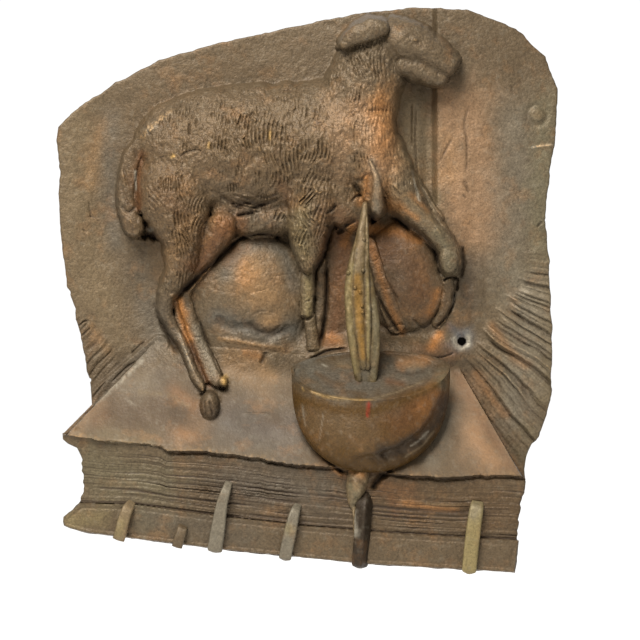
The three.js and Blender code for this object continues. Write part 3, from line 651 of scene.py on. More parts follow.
# Touch of the hand: noises where the clay is soft, creases where a noise is near nothing, and brush strokes
# on the ground. Gives the depth and how coarse the surface is.
def withTouch(grid, u, w, depth, fleece, flat):
    onLamb = np.zeros(u.shape)
    for stations in lamb.values():
        span = windowOf(grid, [s[:2] for s in stations], 24.0)
        _, across, _ = barDepth(u[span], w[span], stations, bars["roundness"])
        onLamb[span] = np.maximum(onLamb[span], softStep(1.3, 0.9, across))
    u0, w0, halfU, halfW = touch["ground"]
    ground = np.exp(-((u - u0) / halfU) ** 4 - ((w - w0) / halfW) ** 4)
    clay = 0.28 + 0.3 * fleece + 0.06 * ground - 0.2 * flat
    clay = np.clip(np.maximum(clay, 0.5 * onLamb), 0.0, 1.0)
    depth = depth + clay * layered(u, w, *touch["grain"])
    openGround = ground * (1.0 - flat)
    creases = np.exp(-(softNoise(u, w, 11.0, 85) / 0.06) ** 2)
    creases = creases * softStep(-0.1, 0.4, softNoise(u, w, 17.0, 86))
    depth = depth - (0.35 * onLamb * (1.0 - fleece) + 0.5 * openGround) * creases
    brushed = softNoise(0.9 * u + 0.5 * w, 0.16 * (w - 0.4 * u), 1.7, 75)
    brushed = brushed + softNoise(0.3 * (u - w), u + w, 1.9, 80)
    depth = depth + 0.22 * openGround * softStep(0.9, 0.3, onLamb) * brushed
    return depth, clay * (1.0 - 0.4 * flat * (onLamb < 0.3))


# The drilled hole: a soft sink around it, then a flat floor inside its ragged radius.
def withHole(u, w, depth, dark):
    hole = plate["hole"]
    toHole = np.hypot(u - hole["u"], w - hole["w"]) + 0.2 * softNoise(u, w, 2.0, 78)
    depth = depth - 1.5 * softStep(hole["sink"], hole["radius"], toHole)
    depth = np.where(toHole < hole["radius"], hole["floor"], depth)
    # Painted shade over the floor and rim of the hole, dark as the view through it
    return depth, dark + 0.62 * softStep(hole["radius"] + 1.8, hole["radius"] - 0.4, toHole)


# The book's front: a lip that falls by a power of its share, page edges below it, and the lower board with a
# line along its rim. Gives depth, darkness, the share down the pages and where the book is.
def withBook(u, w, front, depth, dark):
    lip = book["lip"]
    down = front - w
    undercut = softStep(*book["undercut"], u)
    lipShare = np.clip(down / lip, 0.0, 1.0)
    fall = book["frontDepth"] - book["pageDepth"] + 2.0 * undercut
    lipDepth = book["frontDepth"] - fall * lipShare ** 0.6
    lipDepth = lipDepth + lipShare * (0.9 * softNoise(u * 0.25, w, 1.9, 48) + 0.6 * softNoise(u, w, 4.0, 49))
    pageDepth, share, lineDark = pageDepthAt(u, w, front)
    onLip = down < lip
    pageDepth = np.where(onLip, lipDepth, pageDepth - 1.2 * undercut * softStep(2.5, 0.0, down - lip))
    boardEdge = outlineDistance(u, w, book["board"])
    rimLine = np.exp(-((boardEdge + book["boardWidth"]) / 0.9) ** 2)
    boardDepth = book["boardDepth"] + 0.5 * softNoise(u, w, 22.0, 46) - 0.5 * rimLine
    boardDepth = boardDepth - 3.0 * softStep(-0.8, 0.0, boardEdge)
    onBoard = boardEdge < 0.05
    inBook = (down > 0.0) & (outlineDistance(u, w, plate["outline"]) > -40.0)
    onPages = inBook & ~onBoard
    depth = np.where(onBoard, boardDepth, np.where(inBook, pageDepth, depth))
    # Painted shade under the cover's lip, stronger where the lip is undercut
    paintedLipShade = (0.1 + 0.55 * undercut) * (1.0 + 0.6 * softNoise(u, w * 0.3, 7.0, 50))
    paintedLipShade = paintedLipShade * softStep(0.0, 0.6, down) * softStep(lip + 0.7, lip - 0.5, down)
    dark = np.where(onPages, paintedLipShade + lineDark * ~onLip + 0.8 * softStep(1.5, 0.3, boardEdge), dark)
    return depth, dark, np.where(onPages, np.clip(share, 0.02, 1.0), 0.0), inBook | onBoard


# Drawn lines: each adds its height and darkness times a Gaussian of the distance to its path, ragged in width
# and fading at both ends.
# The darkness laid here is patina crust with painted shade, or a painted highlight where it is negative
def drawMarks(grid, u, w, depth, dark):
    for half, height, shade, path in marks:
        span = windowOf(grid, path, 4.0 * half)
        curve = smoothThrough(path, 8 * len(path)) if len(path) > 2 else np.asarray(path, float)
        gap, share = nearestOnPath(u[span], w[span], curve)
        ragged = 1.0 + 0.35 * softNoise(u[span], w[span], 3.0, 76)
        ends = softStep(-0.02, 0.12, share) * softStep(1.02, 0.88, share)
        line = ends * np.exp(-(gap / (half * ragged)) ** 2)
        depth[span] = depth[span] + height * line
        dark[span] = dark[span] + 0.75 * shade * line


# Every form of the relief's face, laid over each other by the larger depth. Gives depth, how coarse the
# surface is, the darkness of its cuts and the share down the pages.
# The darkness it gives is patina crust in the cuts with painted shade under overhangs and in the hole.
def reliefDepth(grid, u, w):
    depth, dark = plateDepthAt(u, w)
    for place in swells:
        depth = softMax(depth, domeDepth(u, w, place, groundWall) + 0.3 * softNoise(u, w, 12.0, 61), 7.0)
    coverDepth, front = coverDepthAt(u, w)
    back = [place[:2] for place in book["coverBack"]]
    coverEdge = outlineDistance(u, w, back + [(a, b - 4.0) for a, b in book["coverFront"][::-1]])
    onCover = (coverEdge < 0.05) & (w >= front)
    reach = 3.0 + 14.0 * np.exp(-((u + 26.0) / 46.0) ** 4)
    depth = np.where(onCover, softMax(depth, coverDepth, reach), depth)
    dark = np.where(onCover & (depth < coverDepth + 0.8), 0.0, dark)
    depth, fleece = withLamb(grid, u, w, depth)
    combed, grooves = combedFleece(grid, u, w, fleece)
    depth, dark = depth + combed, dark + grooves
    flat = softStep(7.0, 0.0, np.abs(depth - coverDepth)) * onCover * softStep(-34.0, -58.0, w)
    depth, coarse = withTouch(grid, u, w, depth, fleece, flat)
    depth, dark = withHole(u, w, depth, dark)
    depth, dark, leaf, inBook = withBook(u, w, front, depth, dark)
    drawMarks(grid, u, w, depth, dark)
    return depth, np.where(inBook, 0.3, coarse), np.clip(dark, -1.0, 1.0), leaf


# Signed distance to the silhouette: the least of the plate's, cover's, pages' and board's, made uneven by
# seeded noise, and cut by the chips.
def silhouette(u, w):
    wobble = layered(u, w, *plate["edgeWobble"])
    frontEdge = book["coverFront"]
    back = [place[:2] for place in book["coverBack"]]
    below = [(a * 0.985, b - book["under"]) for a, b in frontEdge[1:]]
    edge = outlineDistance(u, w, book["pageOutline"]) + 0.8 * softNoise(u * 0.2, w, 2.6, 83)
    for outline, share in ((plate["outline"], 1.0), (back + frontEdge[::-1], 0.3),
                           (frontEdge[1:] + below[::-1], 0.3), (book["corner"], 0.6), (book["board"], 0.6)):
        edge = np.minimum(edge, outlineDistance(u, w, outline) + share * wobble)
    for u0, w0, radius in plate["chips"]:
        edge = np.maximum(edge, radius - np.hypot(u - u0, w - w0) + 0.6 * softNoise(u, w, 2.0, 84))
    return edge


# Meshes

# An object of the given points and faces, at the origin.
def newPiece(name, points, faces):
    mesh = bpy.data.meshes.new(name)
    mesh.from_pydata(points, [], faces)
    mesh.update()
    piece = bpy.data.objects.new(name, mesh)
    bpy.context.scene.collection.objects.link(piece)
    return piece


# The mesh that the modifiers give takes the first one's place.
def applyModifiers(piece):
    baked = bpy.data.meshes.new_from_object(piece.evaluated_get(bpy.context.evaluated_depsgraph_get()))
    old = piece.data
    piece.modifiers.clear()
    piece.data = baked
    bpy.data.meshes.remove(old)
    baked.name = piece.name


reliefGrid = {"step": 0.56, "left": -180.0, "right": 180.0, "bottom": -198.0, "top": 212.0,
              "triangles": 197000}


# Cells that touch the inside become quads, and an edge between a kept cell and a dropped one carries a wall.
def frontAndWalls(inside):
    cells = inside[:-1, :-1] | inside[1:, :-1] | inside[:-1, 1:] | inside[1:, 1:]
    number = np.arange(inside.size).reshape(inside.shape)
    i, j = np.nonzero(cells)
    quads = np.stack([number[i, j], number[i, j + 1], number[i + 1, j + 1], number[i + 1, j]], axis=1)
    framed = np.pad(cells, 1)
    walls = []
    for kept, other, a, b in (
        (framed[1:, 1:-1], framed[:-1, 1:-1], number[:, :-1], number[:, 1:]),
        (framed[:-1, 1:-1], framed[1:, 1:-1], number[:, 1:], number[:, :-1]),
        (framed[1:-1, 1:], framed[1:-1, :-1], number[1:, :], number[:-1, :]),
        (framed[1:-1, :-1], framed[1:-1, 1:], number[:-1, :], number[1:, :]),
    ):
        only = kept & ~other
        walls.append(np.stack([a[only], b[only]], axis=1))
    return quads, np.vstack(walls)


# The back filled between the rim's edges, all of it cut into triangles and faced outwards, then thinned.
def closeAndThin(piece):
    body = bmesh.new()
    body.from_mesh(piece.data)
    rimEdges = [e for e in body.edges if e.is_boundary]
    bmesh.ops.triangle_fill(body, use_beauty=False, use_dissolve=False, edges=rimEdges)
    bmesh.ops.triangulate(body, faces=[f for f in body.faces if len(f.verts) > 3])
    bmesh.ops.recalc_face_normals(body, faces=body.faces)
    triangles = len(body.faces)
    body.to_mesh(piece.data)
    body.free()
    thin = piece.modifiers.new("thin", "DECIMATE")
    thin.ratio = reliefGrid["triangles"] / triangles
    applyModifiers(piece)
    print("relief face", triangles, "triangles thinned to", len(piece.data.polygons))


# The relief: a grid whose outer corners slide down the slope of the distance onto the silhouette, raised to
# the depth of its forms and rounded off at the edge by a quarter circle. Walls run back along the lines of
# sight, and the flat back is filled at depth 0.
def reliefFace():
    step = reliefGrid["step"]
    columns = np.arange(reliefGrid["left"], reliefGrid["right"], step)
    rows = np.arange(reliefGrid["bottom"], reliefGrid["top"], step)
    grid = {"columns": columns, "rows": rows, "step": step}
    u, w = np.meshgrid(columns, rows)
    edge = silhouette(u, w)
    slopeW, slopeU = np.gradient(edge, step)
    steep = np.maximum(slopeU ** 2 + slopeW ** 2, 0.05)
    slide = np.where(edge > 0.0, edge, 0.0) / steep
    nearEdge = edge < 1.6 * step
    u = np.where(nearEdge, u - slide * slopeU, u)
    w = np.where(nearEdge, w - slide * slopeW, w)
    depth, coarse, dark, leaf = reliefDepth(grid, u, w)
    roundOff = plate["edgeRound"]
    toEdge = np.clip(-edge, 0.0, roundOff) / roundOff
    depth = depth - roundOff * 0.8 * (1.0 - np.sqrt(1.0 - (1.0 - toEdge) ** 2))
    print("relief depth worked out", depth.shape)
    quads, walls = frontAndWalls(edge < 0.0)
    front, rim = np.unique(quads), np.unique(walls)
    place, backPlace = np.full(u.size, -1), np.full(u.size, -1)
    place[front] = np.arange(len(front))
    backPlace[rim] = len(front) + np.arange(len(rim))
    points = np.vstack([
        inFrame(u.ravel()[front], w.ravel()[front], depth.ravel()[front]),
        inFrame(u.ravel()[rim], w.ravel()[rim], np.zeros(len(rim))),
    ])
    first, second = walls.T
    sides = np.stack([place[second], place[first], backPlace[first], backPlace[second]], axis=1)
    piece = newPiece("relief_face", points, np.vstack([place[quads], sides]).tolist())
    closeAndThin(piece)
    return piece, {**grid, "depth": depth, "coarse": coarse, "dark": dark, "leaf": leaf}


# Sets of rings joined by quads, each set with a point closing its two ends.
def ringedPiece(name, sets):
    points, faces, start = [], [], 0
    for rings in sets:
        count, around = rings.shape[:2]
        number = start + np.arange(count * around).reshape(count, around)
        beside = np.roll(number, -1, axis=1)
        quads = np.stack([number[:-1], beside[:-1], beside[1:], number[1:]], axis=-1).reshape(-1, 4)
        last = start + count * around
        first = np.stack([np.full(around, last), beside[0], number[0]], axis=1)
        end = np.stack([np.full(around, last + 1), number[-1], beside[-1]], axis=1)
        points += [rings.reshape(-1, 3), rings[0].mean(axis=0)[None], rings[-1].mean(axis=0)[None]]
        faces += quads.tolist() + first.tolist() + end.tolist()
        start = last + 2
    piece = newPiece(name, np.vstack(points), faces)
    body = bmesh.new()
    body.from_mesh(piece.data)
    bmesh.ops.recalc_face_normals(body, faces=body.faces)
    body.to_mesh(piece.data)
    body.free()
    return piece


# Cup: forward and backward are how far the rim's two halves come out and down; the dent is u, w, half sizes
cup = {
    "u": 44.0, "w": -47.0, "depth": 46.0, "radius": 55.5, "height": 68.0, "bottomDepth": 52.0,
    "forward": (28.0, 24.0), "backward": (16.0, 13.0), "tilt": 0.02, "fullness": 3.0,
    "rim": 0.905, "fill": 0.972, "shift": 3.4, "around": 260,
    "scoop": {"u": 37.0, "w": -47.0, "halfU": 58.0, "halfW": 61.0, "sink": 5.0},
    "dent": (76.0, -74.6, 2.4, 1.6),
}


# A bowl turned about its axis: the wall's radius is the square root of 1 - (1 - height)^fullness, then come
# the lip and the pool. The rim leans towards the eye, and the lower right side is scooped away roughly.
def bowlPiece():
    height = np.linspace(0.0, 1.0, 60)[1:] ** 1.8
    wall = np.sqrt(1.0 - (1.0 - height) ** cup["fullness"])
    lipRadius = np.array([0.998, 0.985, cup["rim"], cup["rim"] - 0.008])
    lipHeight = np.array([1.006, 1.008, 1.0, cup["fill"]])
    poolRadius = np.linspace(cup["rim"] - 0.015, 0.02, 40)
    radius = np.concatenate([wall, lipRadius, poolRadius])[:, None]
    level = np.concatenate([height, lipHeight, np.full(len(poolRadius), cup["fill"])])[:, None]
    turn = np.linspace(0.0, 2.0 * math.pi, cup["around"], endpoint=False)[None, :]
    a, b = radius * np.cos(turn), radius * np.sin(turn)
    stand = 0.15 + 0.85 * softStep(-0.5, 0.3, np.sin(turn))
    level = np.minimum(level, cup["fill"]) + np.maximum(level - cup["fill"], 0.0) * stand
    leanDepth = np.where(b > 0.0, cup["forward"][0], cup["backward"][0])
    leanDown = np.where(b > 0.0, cup["forward"][1], cup["backward"][1])
    shift = np.concatenate([np.zeros(len(height) + 1), [0.4, 1.0, 1.0], np.ones(len(poolRadius))])[:, None]
    u = cup["u"] + cup["radius"] * a - cup["shift"] * shift
    depth = cup["bottomDepth"] + (cup["depth"] - cup["bottomDepth"]) * level + leanDepth * b
    w = cup["w"] - cup["height"] * (1.0 - level) - leanDown * b + cup["tilt"] * cup["radius"] * a
    outer = np.arange(radius.size)[:, None] < height.size
    scoop = cup["scoop"]
    beyond = np.hypot((u - scoop["u"]) / scoop["halfU"], (w - scoop["w"]) / scoop["halfW"])
    beyond = beyond + 0.02 * softNoise(u, w, 7.0, 95)
    side = softStep(126.0, 142.0, u - 0.9 * w)
    shade = softStep(0.99, 1.04, beyond) * side
    uneven = 0.5 * softNoise(u, w, 16.0, 91) + 0.16 * softNoise(u, w, 4.0, 92)
    rough = shade * (scoop["sink"] - 1.6 * softNoise((u - w) * 0.25, u + w, 5.0, 93))
    u0, w0, halfU, halfW = cup["dent"]
    dent = 1.5 * np.exp(-((u - u0) / halfU) ** 2 - ((w - w0) / halfW) ** 2)
    pool = 0.35 * softNoise(u, w, 9.0, 94) + 0.2 * softNoise(u, w, 3.0, 96)
    depth = depth + np.where(outer, uneven - rough - dent, pool)
    return ringedPiece("cup", [inFrame(u, w, depth)])


# A bar carried along stations [u, w, crown, half width, bulge]: across by half width, forward and back by
# bulge; the power squares the section off and roll turns it about the path.
def sweptRings(stations, count, around, power=1.0, roll=0.0, seed=0, uneven=0.0):
    path = smoothThrough(stations, count)
    share = np.linspace(0.0, 1.0, count)
    toEnd = np.maximum(0.0, (np.abs(2.0 * share - 1.0) - 1.0 + 0.06) / 0.06)
    cap = np.sqrt(np.maximum(0.0, 1.0 - 0.96 * toEnd ** 2))[:, None]
    du, dw = np.gradient(path[:, 0]), np.gradient(path[:, 1])
    steps = np.hypot(du, dw)
    sideU, sideW = (dw / steps)[:, None], (-du / steps)[:, None]
    turn = np.linspace(0.0, 2.0 * math.pi, around, endpoint=False)[None, :]
    across = np.sign(np.cos(turn)) * np.abs(np.cos(turn)) ** power * cap * path[:, 3:4]
    rise = np.sign(np.sin(turn)) * np.abs(np.sin(turn)) ** power * cap * path[:, 4:5]
    cosine, sine = math.cos(roll), math.sin(roll)
    across, rise = across * cosine - rise * sine, across * sine + rise * cosine
    u = path[:, 0:1] + across * sideU
    w = path[:, 1:2] + across * sideW
    depth = path[:, 2:3] - path[:, 4:5] + rise
    depth = depth + uneven * softNoise(u * 2.2, w, 8.0, seed) + 0.4 * uneven * softNoise(u, w, 2.4, seed + 1)
    return inFrame(u, w, depth)


# Stream: strands side by side, and drops standing on them: u, w, depth, radius
stream = {
    "strands": [
        [[39.5, 64, 49, 1.8, 3], [37.5, 45, 53, 3.9, 3], [35.7, 21, 55.4, 8.2, 3],
         [37.5, -3.5, 56.4, 10.6, 3], [38.5, -21, 56.6, 11, 3], [40, -35, 56.6, 9.3, 3],
         [41, -50, 56.4, 6.8, 3], [41, -60, 55, 5.6, 3]],
        [[40.2, 69, 49.5, 1.9, 3], [39.2, 58, 52, 2.7, 3], [38.0, 46, 54.5, 3.8, 3],
         [36.7, 34, 56.5, 4.6, 3], [35.4, 20, 58, 5.4, 3], [34.8, 6, 58.8, 5.8, 3],
         [35.6, -12, 59.3, 5.5, 3], [37.6, -32, 59, 4.6, 3], [39.4, -50, 58, 3.2, 3]],
        [[35.6, 46, 53.0, 1.6, 2.6], [32.6, 30, 55.5, 3.0, 2.8], [29.8, 14, 57.4, 3.7, 2.8],
         [29.4, -2, 58.3, 3.7, 2.8], [30.6, -22, 58.8, 3.5, 2.8], [33, -38, 58.6, 3.4, 3],
         [36.6, -60, 55.4, 3.0, 3]],
        [[41.0, 60, 51.5, 0.9, 2.4], [41.2, 44, 55.5, 1.5, 2.4], [40.9, 24, 58.4, 2.1, 2.4],
         [41.2, 8, 59, 2.8, 2.4], [41.8, -12, 59.5, 3.2, 2.4], [41.9, -32, 59.2, 2.9, 2.4],
         [41.6, -50, 58, 2.2, 2.4]],
        [[43.0, 20, 57.0, 1.4, 2.4], [44.6, 2, 58.0, 3.1, 2.8], [46.2, -14, 58.6, 3.9, 2.8],
         [46.6, -28, 58.6, 3.9, 2.8], [46.3, -42, 58.4, 3.6, 3], [45.0, -60, 55.4, 3.0, 3]],
    ],
    "drops": [
        (28.2, 19.2, 57.8, 1.5), (38.6, 20.9, 59.6, 1.3), (32.8, 8.8, 59.4, 1.5), (36.4, 5.9, 60.2, 1.3),
        (37.8, -4, 60.4, 1.1), (38.2, -8.6, 60.4, 1.2), (39.2, 42.5, 56.5, 1.3),
    ],
}


# Stream: one swept bar for each strand, and a short fat one for each drop.
def streamPiece():
    sets = []
    for k, strand in enumerate(stream["strands"]):
        sets.append(sweptRings(strand, 150, 36, power=0.8, seed=101 + 3 * k, uneven=0.7))
    for u0, w0, depth, radius in stream["drops"]:
        stations = [[u0, w0 + radius, depth, 0.3, 0.4], [u0, w0 + 0.4 * radius, depth + 0.5, radius, radius],
                    [u0, w0 - 0.5 * radius, depth + 0.5, radius, radius], [u0, w0 - radius, depth, 0.3, 0.4]]
        sets.append(sweptRings(stations, 12, 14))
    return ringedPiece("stream", sets)


drip = {
    "stations": [
        [36, -116, 60, 7, 6], [34.8, -125, 63, 7.6, 7], [33.2, -133, 63.5, 6.8, 7], [31.8, -141, 61, 4.2, 5],
        [32.3, -147.5, 59, 1.7, 3], [32.4, -156, 58.5, 0.9, 2], [32.4, -164, 58, 0.8, 2],
    ],
    "uneven": 1.5,
}


# Drip: one uneven swept bar from the cup's foot down the pages.
def dripPiece():
    return ringedPiece("drip", [sweptRings(drip["stations"], 110, 40, seed=111, uneven=drip["uneven"])])


# Ribbons: stations (u, w, half width) of each, and what they share: front depth, thickness, how far the
# first, second and last stations lie back, the section's power, and a roll about the path
ribbons = {
    "ribbon_1": [(-122.5, -140.5, 2.6), (-126, -146, 4.0), (-129, -154, 4.3), (-131, -162.5, 4.3),
                 (-133, -168.5, 4.3)],
    "ribbon_2": [(-86.5, -156.5, 2.8), (-88, -160, 3.6), (-90, -167, 3.7), (-92, -173.5, 3.7)],
    "ribbon_3": [(-55, -126.5, 2.4), (-57.5, -134, 3.4), (-60.4, -144, 4.1), (-63.2, -162, 5.1),
                 (-65.5, -177, 5.2)],
    "ribbon_4": [(-6.5, -142.5, 2.4), (-9.2, -149, 3.6), (-12.4, -162.5, 4.4), (-16.5, -182.5, 4.4)],
    "ribbon_5": [(41.5, -134, 3.4), (39.6, -142, 4.4), (38.4, -154, 4.6), (38, -164, 4.4), (36, -188, 4.4)],
    "ribbon_6": [(119, -140.5, 4.0), (118, -146, 4.9), (116, -160, 5.2), (112.5, -192, 5.2)],
}
strap = {"depth": 64.0, "thick": 5.0, "back": (8.0, 1.5, 1.5), "power": 0.32, "uneven": 0.3,
         "roll": {"ribbon_5": -0.55}}


# A ribbon: a swept bar of nearly square section whose ends dip into the pages and the board.
def ribbonPiece(k, name, path):
    back = np.zeros(len(path))
    back[[0, 1, -1]] = strap["back"]
    stations = [[u, w, strap["depth"] - dip, half, strap["thick"]] for (u, w, half), dip in zip(path, back)]
    roll = strap["roll"].get(name, 0.0)
    rings = sweptRings(stations, 70, 40, strap["power"], roll, seed=121 + 2 * k, uneven=strap["uneven"])
    return ringedPiece(name, [rings])


# Patina: tones are named colours as they look in daylight, and each piece has a base tone and washes laid on
# in turn: tone, strength, half width and the path they follow.
# The soot tone serves both dark deposits and painted shade; the bone tone both pale specks and painted
# highlights.
tones = {
    "umber": (0.44, 0.37, 0.275), "brown": (0.46, 0.37, 0.258), "tan": (0.54, 0.46, 0.34),
    "ochre": (0.68, 0.52, 0.34), "orange": (0.80, 0.53, 0.27), "rust": (0.47, 0.31, 0.18),
    "ash": (0.53, 0.49, 0.415), "slate": (0.40, 0.385, 0.345), "mauve": (0.335, 0.285, 0.23),
    "rose": (0.675, 0.53, 0.39), "olive": (0.45, 0.375, 0.24), "moss": (0.49, 0.455, 0.35),
    "straw": (0.62, 0.55, 0.37), "gold": (0.95, 0.76, 0.44), "boneAndHighlight": (0.72, 0.68, 0.60),
    "red": (0.62, 0.15, 0.07), "sootAndShade": (0.24, 0.19, 0.13), "honey": (0.62, 0.46, 0.21),
    "syrup": (0.36, 0.25, 0.075), "dusk": (0.40, 0.375, 0.32), "walnut": (0.37, 0.285, 0.185),
    "steel": (0.46, 0.49, 0.52),
}
